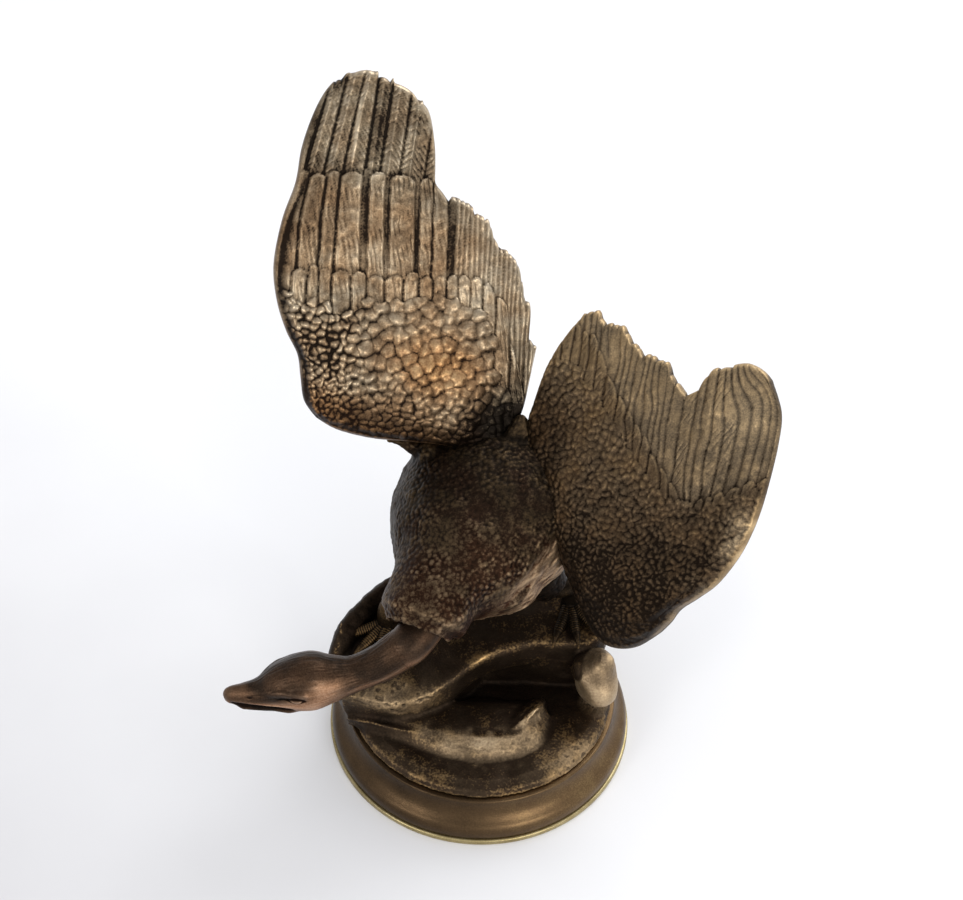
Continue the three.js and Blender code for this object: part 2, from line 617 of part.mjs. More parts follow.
// Curves and thickness shares of the wings
function edgeCurve(points) {
  return new THREE.SplineCurve(points.map(([x, y]) => new THREE.Vector2(x, y)));
}

function profile(points) {
  const curve = edgeCurve(points);
  return (position) => {
    let step = 0;
    while (step + 2 < points.length && points[step + 1][0] < position) step += 1;
    const [from, to] = [points[step][0], points[step + 1][0]];
    return curve.getPoint((step + (position - from) / (to - from)) / (points.length - 1)).y;
  };
}

const armAcross = profile(ARM_ACROSS);
const armAlong = profile(ARM_ALONG);
const handAcross = profile(HAND_ACROSS);
const handAlong = profile(HAND_ALONG);

// From 0 at the middle of a feather to 1 between two feathers
function offShaft(u) {
  return Math.abs(((u * FEATHERS) % 1) - 0.5) * 2;
}

// A wing patch between its four edges, lifted into a cambered casting with covert rows and feathers
function wing(outline) {
  const arm = edgeCurve(outline.arm);
  const tips = edgeCurve(outline.tips);
  const inner = edgeCurve(outline.inner);
  const outer = edgeCurve(outline.outer);
  const corner = (curve, end) => curve.getPointAt(end);
  const patch = (u, v) => {
    const across = arm.getPointAt(u).multiplyScalar(1 - v).addScaledVector(tips.getPointAt(u), v);
    const along = inner.getPointAt(v).multiplyScalar(1 - u).addScaledVector(outer.getPointAt(v), u);
    const corners = corner(arm, 0).multiplyScalar((1 - u) * (1 - v));
    corners.addScaledVector(corner(arm, 1), u * (1 - v));
    corners.addScaledVector(corner(tips, 0), (1 - u) * v);
    corners.addScaledVector(corner(tips, 1), u * v);
    return across.add(along).sub(corners);
  };
  const heights = (u, v) => {
    const camber = WING_CAMBER + SPAN_CAMBER * Math.sin(Math.PI * u);
    const bulge = camber * Math.sin(Math.PI * v ** CAMBER_FORWARD);
    const blade = v < 1 && u > 0 && u < 1 ? FEATHER_THICKNESS : EDGE_THICKNESS;
    const armHere = ARM_THICKNESS * armAcross(v) * armAlong(u);
    const handHere = HAND_THICKNESS * handAcross(v) * handAlong(u);
    const thickness = Math.max(blade, armHere, handHere);
    const rows = COVERT_ROWS.filter((row) => v < row && v > 0).length;
    const ridge = v > COVERT_ROWS[0] ? FEATHER_RELIEF * (1 - offShaft(u) ** 2) : 0;
    return [bulge + thickness / 2 + rows * COVERT_STEP + ridge, bulge - thickness / 2];
  };
  const columns = FEATHERS * COLUMNS_PER_FEATHER;
  const grid = [];
  for (const v of CHORD_STATIONS) {
    for (let i = 0; i <= columns; i++) {
      const u = i / columns;
      const place = patch(u, v);
      const [upper, lower] = heights(u, v);
      const tip = place.y - FEATHER_SCALLOP * offShaft(u) ** 2 * v ** SCALLOP_POWER;
      grid.push({ x: outline.side * place.x, y: tip, upper, lower });
    }
  }
  return skin(grid, columns + 1, outline);
}

// Upper and lower faces over the same grid, joined round the rim and set in the wing's plane
function skin(grid, width, { shoulder, featherway, upper }) {
  const height = grid.length / width;
  const count = grid.length;
  const points = [
    ...grid.map((node) => new THREE.Vector3(node.x, node.y, node.upper)),
    ...grid.map((node) => new THREE.Vector3(node.x, node.y, node.lower)),
  ];
  const triangles = [];
  for (let row = 0; row + 1 < height; row++) {
    for (let column = 0; column + 1 < width; column++) {
      const a = row * width + column;
      const b = a + 1;
      const c = a + width;
      const d = c + 1;
      triangles.push(a, b, d, a, d, c);
      triangles.push(count + a, count + d, count + b, count + a, count + c, count + d);
    }
  }
  const rim = [];
  for (let column = 0; column + 1 < width; column++) rim.push(column);
  for (let row = 0; row + 1 < height; row++) rim.push(row * width + width - 1);
  for (let column = width - 1; column > 0; column--) rim.push((height - 1) * width + column);
  for (let row = height - 1; row > 0; row--) rim.push(row * width);
  rim.forEach((a, i) => {
    const b = rim[(i + 1) % rim.length];
    triangles.push(a, count + a, b, b, count + a, count + b);
  });
  const along = vector(featherway).normalize();
  const across = new THREE.Vector3().crossVectors(along, vector(upper)).normalize();
  const out = new THREE.Vector3().crossVectors(across, along);
  const place = new THREE.Matrix4().makeBasis(across, along, out).setPosition(vector(shoulder));
  points.forEach((point) => point.applyMatrix4(place));
  return closedGeometry(points, triangles);
}

// Assembly
const vulture = new THREE.Group();
vulture.add(piece('base_plate', basePlate(), BRASS));
vulture.add(piece('plinth', plinth(), WORN_BRONZE));
const rockHoles = [...rockScrewHoles, ...footHoles(RIGHT_LEG.foot), ...footHoles(LEFT_LEG.foot)];
vulture.add(piece('rock_terrace', geometryOf(cut(rock(), ...rockHoles)), ROCK_BRONZE));

function addScrews(name, screws, places, headLevel, shankEnd) {
  const geometry = screw(screws, shankEnd - headLevel - screws.headHeight);
  places.forEach(([x, y], i) => {
    const fixing = piece(`${name}_${i + 1}`, geometry, STEEL);
    fixing.position.set(x, y, headLevel);
    vulture.add(fixing);
  });
}

addScrews('base_plate_screw', PLATE_SCREW, platePlaces, plateHeadLevel, plateShankEnd);
addScrews('rock_screw', ROCK_SCREW, rockPlaces, rockHeadLevel, rockShankEnd);
vulture.add(...footFixings('right_foot', RIGHT_LEG.foot), ...footFixings('left_foot', LEFT_LEG.foot));

const bird = new THREE.Group();
bird.position.z = STAND_LEVEL;
bird.add(piece('torso', torso(), BRONZE));
bird.add(piece('head_and_neck', headAndNeck(), BRONZE));
bird.add(piece('tail_fan', tailFan(), BRONZE));
bird.add(piece('right_wing', joinedToTorso(wing(RIGHT_WING), joints.rightWing), WORN_BRONZE));
bird.add(piece('left_wing', joinedToTorso(wing(LEFT_WING), joints.leftWing), BRONZE));
bird.add(piece('right_foot', foot(RIGHT_LEG, joints.rightLeg), BRONZE));
bird.add(piece('left_foot', foot(LEFT_LEG, joints.leftLeg), BRONZE));
bird.add(piece('neck_pin', joints.neck.pin, STEEL));
bird.add(piece('right_wing_pin', joints.rightWing.pin, STEEL));
bird.add(piece('left_wing_pin', joints.leftWing.pin, STEEL));
bird.add(piece('tail_pin', joints.tail.pin, STEEL));
bird.add(piece('right_leg_pin', joints.rightLeg.pin, STEEL));
bird.add(piece('left_leg_pin', joints.leftLeg.pin, STEEL));
vulture.add(bird);

export default vulture;
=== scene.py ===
import itertools
import math

import bpy
import numpy as np
from mathutils import Matrix, Vector
from mathutils.kdtree import KDTree


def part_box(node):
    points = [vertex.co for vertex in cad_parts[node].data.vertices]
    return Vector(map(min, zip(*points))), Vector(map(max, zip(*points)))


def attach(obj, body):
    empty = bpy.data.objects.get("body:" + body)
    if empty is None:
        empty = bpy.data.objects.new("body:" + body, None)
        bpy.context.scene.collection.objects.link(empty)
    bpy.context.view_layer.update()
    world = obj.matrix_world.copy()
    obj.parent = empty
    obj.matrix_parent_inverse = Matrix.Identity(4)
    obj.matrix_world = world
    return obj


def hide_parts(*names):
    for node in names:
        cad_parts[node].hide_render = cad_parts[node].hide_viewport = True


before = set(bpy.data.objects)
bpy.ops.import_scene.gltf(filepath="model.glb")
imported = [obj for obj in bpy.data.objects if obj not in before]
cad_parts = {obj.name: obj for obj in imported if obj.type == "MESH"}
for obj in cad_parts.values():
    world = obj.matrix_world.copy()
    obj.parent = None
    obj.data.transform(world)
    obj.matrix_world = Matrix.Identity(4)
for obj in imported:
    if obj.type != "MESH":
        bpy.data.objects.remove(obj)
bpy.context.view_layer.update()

# Sizes are in millimetres, as in the part's source, and become metres when a mesh is made
MM = 0.001
SEED = 7

# Noise: whole numbers that mix a place's bits, and an offset that keeps places positive
HASH_PLACES = (73856093, 19349663, 83492791)
HASH_SEED = 2654435
HASH_SPREAD = 1274126177
NOISE_OFFSET = 400

# Camera, from the photograph's frame
IMAGE_WIDTH = 963
FOCAL_PIXELS = 1569
SENSOR = 36
CAMERA_PLACE = (-1.78, -242.76, 322.67)
CAMERA_ELEVATION = 43.4
CAMERA_ROLL = 2.0

# Levels of the base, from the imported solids
PLATE_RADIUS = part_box("base_plate")[1].x / MM
PLATE_THICKNESS = 1.6
RIM_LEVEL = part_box("plinth")[1].z / MM
STAND_LEVEL = 30.0
SLAB_SLOPE = (0.1, 0.2)
SLAB_LEVEL = STAND_LEVEL - 1.0

# Base plate and plinth profiles
LIP_ROUND = 0.5
REGISTER_RADIUS = 29
PLINTH_FOOT_RADIUS = 37
PLINTH_TOP_RADIUS = 33.4
PLINTH_FILLET = 0.8
SEAM = 0.3
LATHE_SEGMENTS = 288

# The way that counts as up for limbs that stand upright
LEVEL_TOP = (0, -1, 0)

# Torso, shoulder, neck and tail stations [x, y, height, half width, half height], close to the source's
TORSO = [
    (-14.2, -16.7, 25.2, 7, 7.2), (-13.7, -15.5, 26.1, 10.1, 9.8), (-10.4, -8, 27.8, 11.5, 11.2),
    (-7.2, -1.5, 28, 16.4, 15), (-2.7, 8.3, 28.5, 21.8, 17.3), (2.6, 17.8, 30.5, 23.6, 17.5),
    (9.5, 25.8, 31, 18.5, 14.5), (13.5, 32.7, 30, 11, 10.5), (15.5, 36.2, 29, 7.5, 7.5),
    (16.8, 38.3, 28.4, 3.5, 4),
]
RIGHT_SHOULDER = [
    (-2, 13, 31, 13, 12.5), (-8, 17, 35, 10.2, 10), (-12, 20.5, 38.8, 6.8, 7.2),
    (-14.5, 22.2, 41.5, 4.4, 4.6), (-16, 23, 42, 1.5, 1.5),
]
BREAST = [
    (-10.1, -8, 24.5, 5, 5.2), (-5.1, -3, 23.5, 9.4, 8.4), (1.2, 2.9, 23.9, 13.8, 10.4),
    (5.2, 8.9, 25.9, 9.2, 6.9),
]
ARMPIT = [
    (-12, 22, 37, 4.5, 4.5), (-16, 22.3, 40.8, 2.6, 2.6), (-20, 22.4, 43.2, 1.4, 1.4),
    (-24, 22, 44.6, 0.8, 0.8),
]
MANTLE = [(3, 18, 28, 10, 8), (5.5, 22, 40, 6, 4.5), (7, 24, 48, 3, 2.5), (7.2, 24.5, 51.5, 1.2, 1.2)]
NECK = [
    (-9, -8, 24.5, 4.6, 4.6), (-15.5, -16.5, 19.6, 4.8, 4.8), (-18.8, -18.2, 17.4, 4.6, 4.6),
    (-22.9, -19.9, 15, 4.3, 4.3), (-28.4, -21.8, 13.4, 4.1, 4.1), (-33, -23, 13, 5.2, 5.4),
    (-38.1, -24, 13, 6.5, 6.9), (-43.8, -25, 12.3, 5.6, 5.9), (-49, -26, 10.9, 3.5, 3.7),
    (-53, -26.2, 10, 2.5, 2.9), (-55.8, -26.1, 9.3, 1.9, 2.4), (-57, -26, 8.4, 0.9, 1.1),
]
TAIL = [
    (12.5, 31, 29.5, 5.5, 4.2), (16, 37, 27.5, 6.5, 3.6), (19, 42.2, 24.8, 8.5, 2.9),
    (22.5, 48.3, 21.6, 11, 2.2), (26, 54.4, 18.4, 12.5, 1.7), (28, 57.8, 16.8, 12, 1.1),
]

# Legs
LEG_RADII = {"hip": 8.5, "knee": 6.6, "hock": 4.4}
SHANK_RADIUS = 2.3
SHANK_FOOT = 6.5
TOE_RINGS = 200
TOE = [(0, 1.5, 1.5), (4.2, 1.3, 1.3), (8.3, 1.15, 1.1), (10, 1.2, 0.8), (12, 0.2, 0.25)]
SCUTE_LENGTH = 0.55
SCUTE_DEPTH = 0.1
LEGS = {
    "right_foot": {
        "foot": (-23, 5.5), "hock": (-18.5, 9.5, 8.5), "knee": (-14.5, 12, 14), "hip": (-9, 14, 20),
        "toe_angles": (197, 227, 257, 50), "painted_shade": -0.02,
    },
    "left_foot": {
        "foot": (21, 9.5), "hock": (17, 8, 11), "knee": (13, 8.5, 15), "hip": (8, 10, 20),
        "toe_angles": (250, 280, 310, 90), "painted_shade": 0.12,
    },
}

# Wings: the plane and outline, close to the source's, then where each kind of feather ends, as
# [along the arm, along the feathers], and how far the feathers lean outwards per millimetre
RIGHT_WING = {
    "side": -1,
    "shoulder": (-11, 23, 42.5),
    "featherway": (0.297, 0.519, 0.801),
    "upper": (0.154, -0.854, 0.496),
    "arm": [(-12, -5), (-3, 0), (7, -1.3), (16.5, -3.3), (24.5, -3.7), (30, -2.4)],
    "outer": [
        (30, -2.4), (33.8, 0.6), (36.3, 5.6), (38.6, 10.4), (42.7, 14.8), (46.7, 20.6), (49.8, 28),
        (51, 38), (50.7, 46.5), (51.7, 54), (51.6, 61), (50.7, 66.5), (48.8, 71),
    ],
    "tips": [
        (-13.4, 27.7), (-11, 29.2), (-10.2, 31.5), (-9.3, 34.8), (-8.4, 36.5), (-6.8, 37.2), (-5.5, 40),
        (-4, 43), (-2, 45.6), (0.6, 46.5), (3, 47), (4.6, 48.8), (6.4, 51.2), (9.2, 52.7), (10.8, 52.9),
        (11.6, 54), (14.4, 54.5), (17, 54.3), (19.2, 55.4), (20.8, 56.6), (22, 58.6), (23.8, 63.2),
        (27.4, 69.6), (31.2, 72.8), (35, 74), (40, 74.6), (44.4, 73.4), (48.8, 71),
    ],
    "inner": [(-12, -5), (-14, 6), (-14.8, 14), (-14.2, 21), (-13.4, 28.2)],
    "scales_end": [
        (-15, 10), (-9, 17), (-3, 28), (4, 33.6), (10, 32.3), (20, 29.2), (28, 26.4), (32, 23.5),
        (48, 23),
    ],
    "tiles_end": [
        (-15, 16), (-9, 25), (-3, 36), (3, 40), (9, 39.6), (20, 35.8), (26, 33.8), (37, 31.2), (48, 29.3),
    ],
    "coverts_end": [
        (-14, 70), (20, 60), (22, 56.5), (27, 56.5), (33, 55.6), (39, 53.6), (47, 50.8), (51, 48.6),
    ],
    "lean": [(-20, 0.3), (36, 0.29), (46, 0.22), (51, 0.05)],
    "lean_from": 32,
    "feather_gaps": [52, 45.8, 40.8, 37.2, 31, 29.7, 25.5, 24.8, 18.4, 17.7, 14.3, 10.4, 9],
    "fine_gap": 1.2,
    "primary_lean": [(20, 0.2), (40, 0.17), (47, 0.08), (52, 0)],
    "primary_gaps": [58, 53, 47.8, 42.3, 37.2, 33.8, 29, 23, 17],
    "tile_widths": (2.2, 4.6),
    "scale_sizes": [(-8, 1.2), (5, 1.5), (11, 1.9), (17, 2.5), (34, 2.6)],
    "scale_shrink": [(-16, 0.85), (-6, 0.95), (0, 1), (22, 1), (30, 0.62), (40, 0.55)],
    "scale_height": 0.76,
    "scale_fade": (-4, 14),
    "waviness": 0.25,
    "lobe": (90, 91),
    "relief": 1.0,
    "leading": 2.0,
    "swell": 2.2,
    "band": 0.5,
}
LEFT_WING = {
    "side": 1,
    "shoulder": (15.3, 7.3, 31.7),
    "featherway": (0.144, 0.651, 0.745),
    "upper": (-0.509, -0.597, 0.62),
    "arm": [(-9, 4), (0, -1), (8.3, -12.2), (15, -20.3), (20, -22.7), (26, -21.2), (31, -16.6)],
    "outer": [
        (31, -16.6), (33.4, -13.6), (35.3, -10.4), (39, -7.1), (42.5, -3.6), (45.4, 1.2), (47.5, 6.3),
        (49, 12.8), (49.7, 20), (49.9, 28.8), (49.1, 35.3), (45.6, 41),
    ],
    "tips": [
        (-1.8, 50.2), (0.2, 50.8), (2, 50.7), (3.4, 49), (4.6, 48.3), (6.4, 48.6), (8.4, 48.3),
        (10, 47.2), (11.4, 45.6), (13.3, 44.8), (14.8, 43), (16.8, 43.4), (19, 42.3), (21, 42),
        (22.4, 40), (24.4, 37.6), (26.2, 35.8), (28, 36), (29.4, 37.4), (30.4, 39.6), (31.8, 41.8),
        (34.1, 43.1), (39.6, 43.9), (43.4, 42.7), (45.6, 41),
    ],
    "inner": [(-9, 4), (-10.2, 16), (-9.6, 27), (-7.4, 39), (-1.8, 50.2)],
    "scales_end": [
        (-11, 38), (-2, 39), (6, 34), (12, 26), (19, 20), (26, 14), (34, 12), (42, 15), (50, 19),
    ],
    "tiles_end": [
        (-11, 45), (-2, 48), (4, 44), (9, 37), (13, 32), (20, 25), (27, 18), (33, 13), (40, 16), (50, 22),
    ],
    "coverts_end": [(-11, 60), (51, 60)],
    "lean": [(-12, -0.1), (25, -0.1), (35, -0.1), (40, 0), (45, 0.07), (51, 0)],
    "lean_from": 20,
    "feather_gaps": [52, 49.2, 47.6, 45.8, 43.6, 41.2, 38.4, 35.6, 33.2, 31.2, 28.4, 26],
    "fine_gap": 1.7,
    "primary_lean": [(20, -0.05), (38, 0.02), (45, 0.07), (51, 0)],
    "primary_gaps": [52, 49.6, 47.6, 45.4, 42.8, 39.6, 36.4, 33.4, 30, 27],
    "tile_widths": (1.8, 3.4),
    "scale_sizes": [(-26, 0.9), (0, 1.0), (20, 1.2), (40, 1.3)],
    "scale_shrink": [(-16, 1), (50, 1)],
    "scale_height": 0.34,
    "scale_fade": (-60, -59),
    "waviness": 1.1,
    "lobe": (33, 43),
    "relief": 0.8,
    "leading": 1.1,
    "swell": 7,
    "band": -1.5,
}
WING_COLUMNS = 288
WING_ROWS = 300
UNDERSIDE_STEP = 3
WING_CAMBER = 2.2
SPAN_CAMBER = 1.4
CAMBER_FORWARD = 0.7
ARM_THICKNESS = 8.6
HAND_THICKNESS = 6
BLADE_THICKNESS = 1.9
EDGE_THICKNESS = 0.3
RIM_THICKNESS = 0.7
RIM_ROUND = 1.1
SCALE_LEVEL = 0.8
TILE_LEVEL = 0.65
COVERT_LEVEL = 0.42
PLATE_RELIEF = 0.42
GAP_WIDTH = 0.8
VALLEY_WIDTH = 1.5
RIDGE_RELIEF = 0.3
FEATHER_TILT = 0.1
SHAFT_HEIGHT = 0.15
SHAFT_PLACE = 0.3
SHAFT_RADIUS = 0.3
STROKE_DEPTH = 0.14
STROKE_SLOPE = 2.0
STROKE_SPACING = 2.4
BARB_STRETCH = 1.8
BARB_SLOPE = -1.7
PRIMARY_SHIFT = 4
UNDERSIDE_FEATHER = 3.6
FEATHERS_FROM = -24
FEATHERS_TO = 58
MOST_FEATHERS = 200
TILES = 60
TILES_FROM = -34
SCALES_TO = 44
TIP_ROUND = 1.2
TIP_JITTER = 0.8
TIP_REACH = 0.9
ARM_ACROSS = [(0, 0.12), (0.02, 0.5), (0.06, 0.8), (0.14, 1), (0.28, 0.88), (0.45, 0.4), (0.6, 0), (1, 0)]
ARM_ALONG = [(0, 0.2), (0.1, 0.6), (0.25, 1), (0.88, 1), (1, 0.3)]
HAND_ACROSS = [(0, 0.3), (0.06, 1), (0.38, 1), (1, 0)]
HAND_ALONG = [(0, 0), (0.7, 0), (0.85, 0.6), (0.94, 1), (1, 0.25)]

# Wing patina, painted shade and highlights: patches [centre, reach] on a wing's chart, valleys [place, half
# width]
VALLEYS = ((30.3, 0.8), (25.1, 0.5), (18, 0.5), (9.7, 0.9))
VALLEY_LEAN = 0.29
PRIMARY_LEAN = 0.178
GOLDEN_WEAR_AND_SHEEN = ((8, 18), (13, 8))
DULL_WRIST = ((36, 14), (6, 8))
WRIST_GROOVE = ((30.4, 14), (1.2, 5))
WRIST_GLINT = ((37.8, 22.8), (4, 2))
WRIST_HIGHLIGHTS = ((34, 16), (8, 9))
BRIGHT_SHAFT = ((36.3, 62), (0.35, 9))
DEEP_FEATHER = ((31.4, 64), (1.5, 12))
RUBBED_LIT_HAND = ((41, -5), (3, 3))
PALE_LOBE = ((42, 33), (8, 8))
PALE_ROOT = ((-3, 42), (9, 11))
UNDERSIDE_CONTRAST = 0.4
UNDERSIDE_TONE = 0.15

# Sculpted skins
TORSO_VOXEL = 0.345
ROCK_VOXEL = 0.41
FOOT_VOXEL = 0.14
BODY_SCALE = 0.92
BODY_SCALE_HEIGHT = 0.34
SCALE_LIFT = 0.22
SCALE_FLOOR = 0.25
SCALE_DOME = 0.85
BODY_PICKS = 40000
WING_PICKS = 60000
BREAST_FACING = (0.75, -0.35, -0.6)
BREAST_GRAIN = ((0.44, 0.74, 0.5), (0.86, -0.5, 0), (-0.26, -0.44, 0.86))
BREAST_STRETCH = 0.22
RUFF_PETALS = 27
RUFF_REACH = 1.7
RUFF_ROOT = 8.6
RUFF_RADIUS = 7.4
RUFF_DIP = 7.2
TAIL_RINGS = 150
TAIL_SIDES = 220
TAIL_FEATHERS = 8
TAIL_GROOVE = 0.45
TAIL_UP = (0.2, 0.3, 0.93)

# Head: places along the neck's length as shares, and angles down each side from the crown
HEAD_RINGS = 380
HEAD_SIDES = 220
HEAD_LENGTH = 57.4
BROW = [(0.64, 76), (0.69, 69), (0.727, 64), (0.78, 56), (0.84, 47)]
EYE_FOLD = [(0.66, 82), (0.709, 81), (0.77, 73), (0.84, 65)]
EYE = (0.709, 81)
EYE_LENGTH = 1.5
EYE_HEIGHT = 0.45
GAPE = [(0.72, 122), (0.74, 119), (0.855, 113), (0.95, 110), (1, 110)]
NOSTRIL = (0.888, 60)
# The temple and cheek are pale with a painted highlight
TEMPLE_HIGHLIGHT = ((0.6, 68), (0.06, 20))
PALE_CHEEK = ((0.64, 108), (0.09, 26))
PALE_JAW = ((0.78, 98), (0.1, 13))
PALE_LIDS = (EYE, (0.02, 6))
LIP_ABOVE_GAPE = 17
PALE_LIP = ((0, 0.9), (0.5, 0.1))

# Rock: stations, egg shapes as [centre, radii], and patches of patina as [centre, reach]
ROCK_BACK = [
    (-35.5, -3, 22.5, 2.4, 4), (-33, 3, 25, 2.8, 6), (-28.5, 9.5, 27, 3, 6.4), (-22.6, 15.5, 28.4, 3, 6),
    (-15, 20, 30, 2.6, 4),
]
BOULDER_EDGE = [
    (-32, -12.6, 14, 1.2, 2), (-25.7, -14.6, 15, 1.6, 2.2), (-18.4, -16.6, 15, 2.2, 2.4),
    (-6.2, -17.6, 14.4, 2.8, 3), (2.6, -16.8, 14.6, 3.2, 3.2), (8.8, -14.4, 15.2, 3.6, 3.6),
    (13, -10.8, 16.2, 3, 4), (14.6, -8, 15, 2, 3),
]
BOULDER_LIP = [
    (-32, -13.4, 15.4, 0.8, 0.7), (-25.7, -15.4, 16.8, 0.9, 0.8), (-18.4, -17.2, 17, 1, 0.8),
    (-6.2, -18.6, 17, 1.1, 0.9), (2.6, -17.8, 17.2, 1.1, 1), (8.6, -16, 17.8, 1.1, 1),
    (13.4, -12, 19.6, 1.1, 1.1), (15.4, -8.6, 17.6, 0.9, 1),
]
BOULDER_FRONT = [
    (-26, -15.5, 12, 2.2, 2.6), (-18, -18.6, 12, 3.6, 3.2), (-8, -21.2, 11.8, 5, 3.6),
    (0, -21.8, 11.6, 5.8, 4), (7, -19.6, 12, 5.6, 4.2), (12, -15.4, 13, 4.6, 5), (15, -9.5, 13, 3.2, 4.6),
]
BOULDER_TOP = ((1, -11.5, 13.2), (13, 6.5, 4.8))
KNOB_SHOULDER = ((25.6, -4.5, 26.4), (4.2, 4.4, 4.2))
KNOB = ((28.3, -5.5, 22.6), (5.4, 6.5, 10.5))
KNOB_TAPER = (22, 14)
SLAB_FRONT = ((-20, -14), (12, 4))
BOULDER_FACE = ((1, -20.5), (14, 5.5))
BOULDER_SIDE = ((12.5, -13.5), (4, 5))
BOULDER_PITS = ((12, -12), (4, 4))
RIGHT_GROUND = ((20, -19), (9, 6))
ROCK_REGISTER = 29.4
EGG_SIDES = 40
EGG_RINGS = 30
EGG_POLE = 0.02
STUD_FILL = 2.2
PIT_TURN = np.array([(0.267, 0.949, -0.169), (0.535, 0, 0.845), (0.802, -0.316, -0.507)])
PLUME_GRAIN = np.array([(0.25, 0.1, 0.6), (0.1, 0.3, 0.6), (0, 0, 0.8)])
GROUND_MOUNDS = [
    ((20, -17.5, 10.5), (5, 4, 3.4)), ((-5, -25, 10.5), (4, 2.6, 3.6)),
    ((-9, -25.6, 10.5), (2.4, 1.8, 3)), ((25, -12, 10.5), (3, 3, 3)), ((8, -25, 10.5), (3, 2, 2.4)),
    ((-20, -20, 10.5), (4, 3, 2.6)),
]

# Bronzes: colours as seen, each from recess to patina to worn edge, dull and bright
PATINAS = {
    "wing_gold": {
        "dull": ((28, 23, 18), (108, 95, 77), (178, 163, 140)),
        "bright": ((40, 24, 14), (152, 108, 66), (246, 196, 130)),
        "roughness": (0.5, 0.3),
    },
    "wing_brown": {
        "dull": ((24, 16, 10), (68, 51, 34), (106, 85, 58)),
        "bright": ((36, 29, 21), (122, 108, 88), (222, 192, 146)),
    },
    "feather_bronze": {
        "dull": ((9, 7, 5), (32, 25, 18), (76, 61, 42)),
        "bright": ((22, 12, 7), (74, 42, 25), (198, 168, 134)),
    },
    "skin_bronze": {
        "dull": ((12, 8, 6), (38, 29, 22), (72, 57, 46)),
        "bright": ((56, 33, 22), (166, 126, 96), (226, 188, 156)),
        "roughness": (0.46, 0.34),
    },
    "foot_bronze": {
        "dull": ((9, 7, 5), (30, 23, 16), (110, 86, 56)),
        "bright": ((16, 11, 8), (52, 41, 28), (150, 122, 84)),
    },
    "rock_bronze": {
        "dull": ((26, 20, 15), (47, 36, 27), (206, 168, 114)),
        "bright": ((36, 29, 20), (146, 125, 98), (224, 200, 164)),
        "mottle": 0.08, "cloudy": 0.06, "grain_size": 0.5, "grain_depth": 0.4,
    },
    "plinth_bronze": {
        "dull": ((36, 28, 19), (74, 58, 41), (120, 96, 66)),
        "bright": ((60, 46, 32), (108, 86, 60), (190, 162, 112)),
        "roughness": (0.38, 0.28), "mottle": 0.08,
    },
    "plate_brass": {
        "dull": ((70, 60, 40), (122, 108, 76), (204, 188, 144)),
        "bright": ((110, 96, 66), (178, 161, 114), (234, 220, 176)),
        "roughness": (0.36, 0.28),
    },
}
PATINA_STOPS = (0.2, 0.5, 0.92)
PATCH_SIZE = 6
NOISE_REACH = (0.3, 0.7)
BRONZE_METALLIC = 0.92
BRONZE_GLOSS = 0.2
BUMP_STRENGTH = 0.35

# Plain colours, as [place on the ramp, colour]
STEEL_COLOURS = [(0.3, (0.32, 0.32, 0.31)), (0.7, (0.55, 0.55, 0.54))]
# The paper darkens towards its second colour as painted shade
PAPER_AND_SHADE_COLOURS = [(0.0, (0.86, 0.86, 0.87)), (1.0, (0.54, 0.53, 0.54))]
ROOM_COLOURS = [(0.0, (1, 1, 1)), (0.3, (0.9, 0.91, 0.93)), (1.0, (0.62, 0.63, 0.66))]
ROOM_STRENGTH = 1.1

# Stage, in metres: each lamp's place, size, power and colour
FLOOR_HALF = 3
LAMP_TARGET = (0, 0, 0.06)
LAMPS = {
    "window": ((0.45, -0.75, 0.34), 0.4, 2.5, (1, 0.97, 0.92)),
    "door": ((-0.6, -0.64, 0.42), 0.25, 1.9, (1, 0.98, 0.95)),
    "room": ((0.5, 0.6, 0.9), 0.8, 6, (0.97, 0.98, 1)),
}

# Words in the names of the steel pieces
FIXINGS = ("screw", "stud", "washer", "nut", "pin")


# Curves and noise

def unit(vector):
    return np.asarray(vector, float) / np.linalg.norm(vector)


def eased(knots):
    """A smooth curve through [place, value] knots."""
    places, values = np.array(knots, float).T

    def curve(position):
        step = np.clip(np.searchsorted(places, position, side="right") - 1, 0, len(places) - 2)
        share = np.clip((position - places[step]) / (places[step + 1] - places[step]), 0, 1)
        share = share * share * (3 - 2 * share)
        return values[step] + (values[step + 1] - values[step]) * share

    return curve


def line(knots):
    """Straight stretches through [place, value] knots."""
    places, values = np.array(knots, float).T
    return lambda position: np.interp(position, places, values)


def spline(points, samples=24):
    """Points along a smooth curve through the given ones."""
    knots = np.array(points, float)
    padded = np.vstack([knots[:1], knots, knots[-1:]])
    share = np.linspace(0, 1, samples, endpoint=False)[:, None]
    cube, square = share ** 3, share ** 2
    stretches = []
    for before, start, end, after in zip(padded, padded[1:], padded[2:], padded[3:]):
        leave, arrive = (end - before) / 2, (after - start) / 2
        stretches.append(
            start * (2 * cube - 3 * square + 1) + leave * (cube - 2 * square + share)
            + end * (3 * square - 2 * cube) + arrive * (cube - square))
    return np.vstack([*stretches, knots[-1:]])


def at_shares(points, shares):
    """Places at shares of a line's length."""
    steps = np.linalg.norm(np.diff(points[:, :3], axis=0), axis=1)
    length = np.concatenate([[0], np.cumsum(steps)]) / steps.sum()
    return np.stack([np.interp(shares, length, column) for column in points.T], axis=-1)


def ramp(value, low, high):
    """0 below low, 1 above high, and smooth between."""
    share = np.clip((value - low) / (high - low), 0, 1)
    return share * share * (3 - 2 * share)


def fall(value, low, high):
    """1 below low, 0 above high, and smooth between."""
    return 1 - ramp(value, low, high)


def stretch(value, start, full, fading, end):
    """Rises from start to full, and falls from fading to end."""
    return ramp(value, start, full) * fall(value, fading, end)


def mound(distance, reach):
    """1 at no distance, and fading over the given reach."""
    return np.exp(-(distance / reach) ** 2)


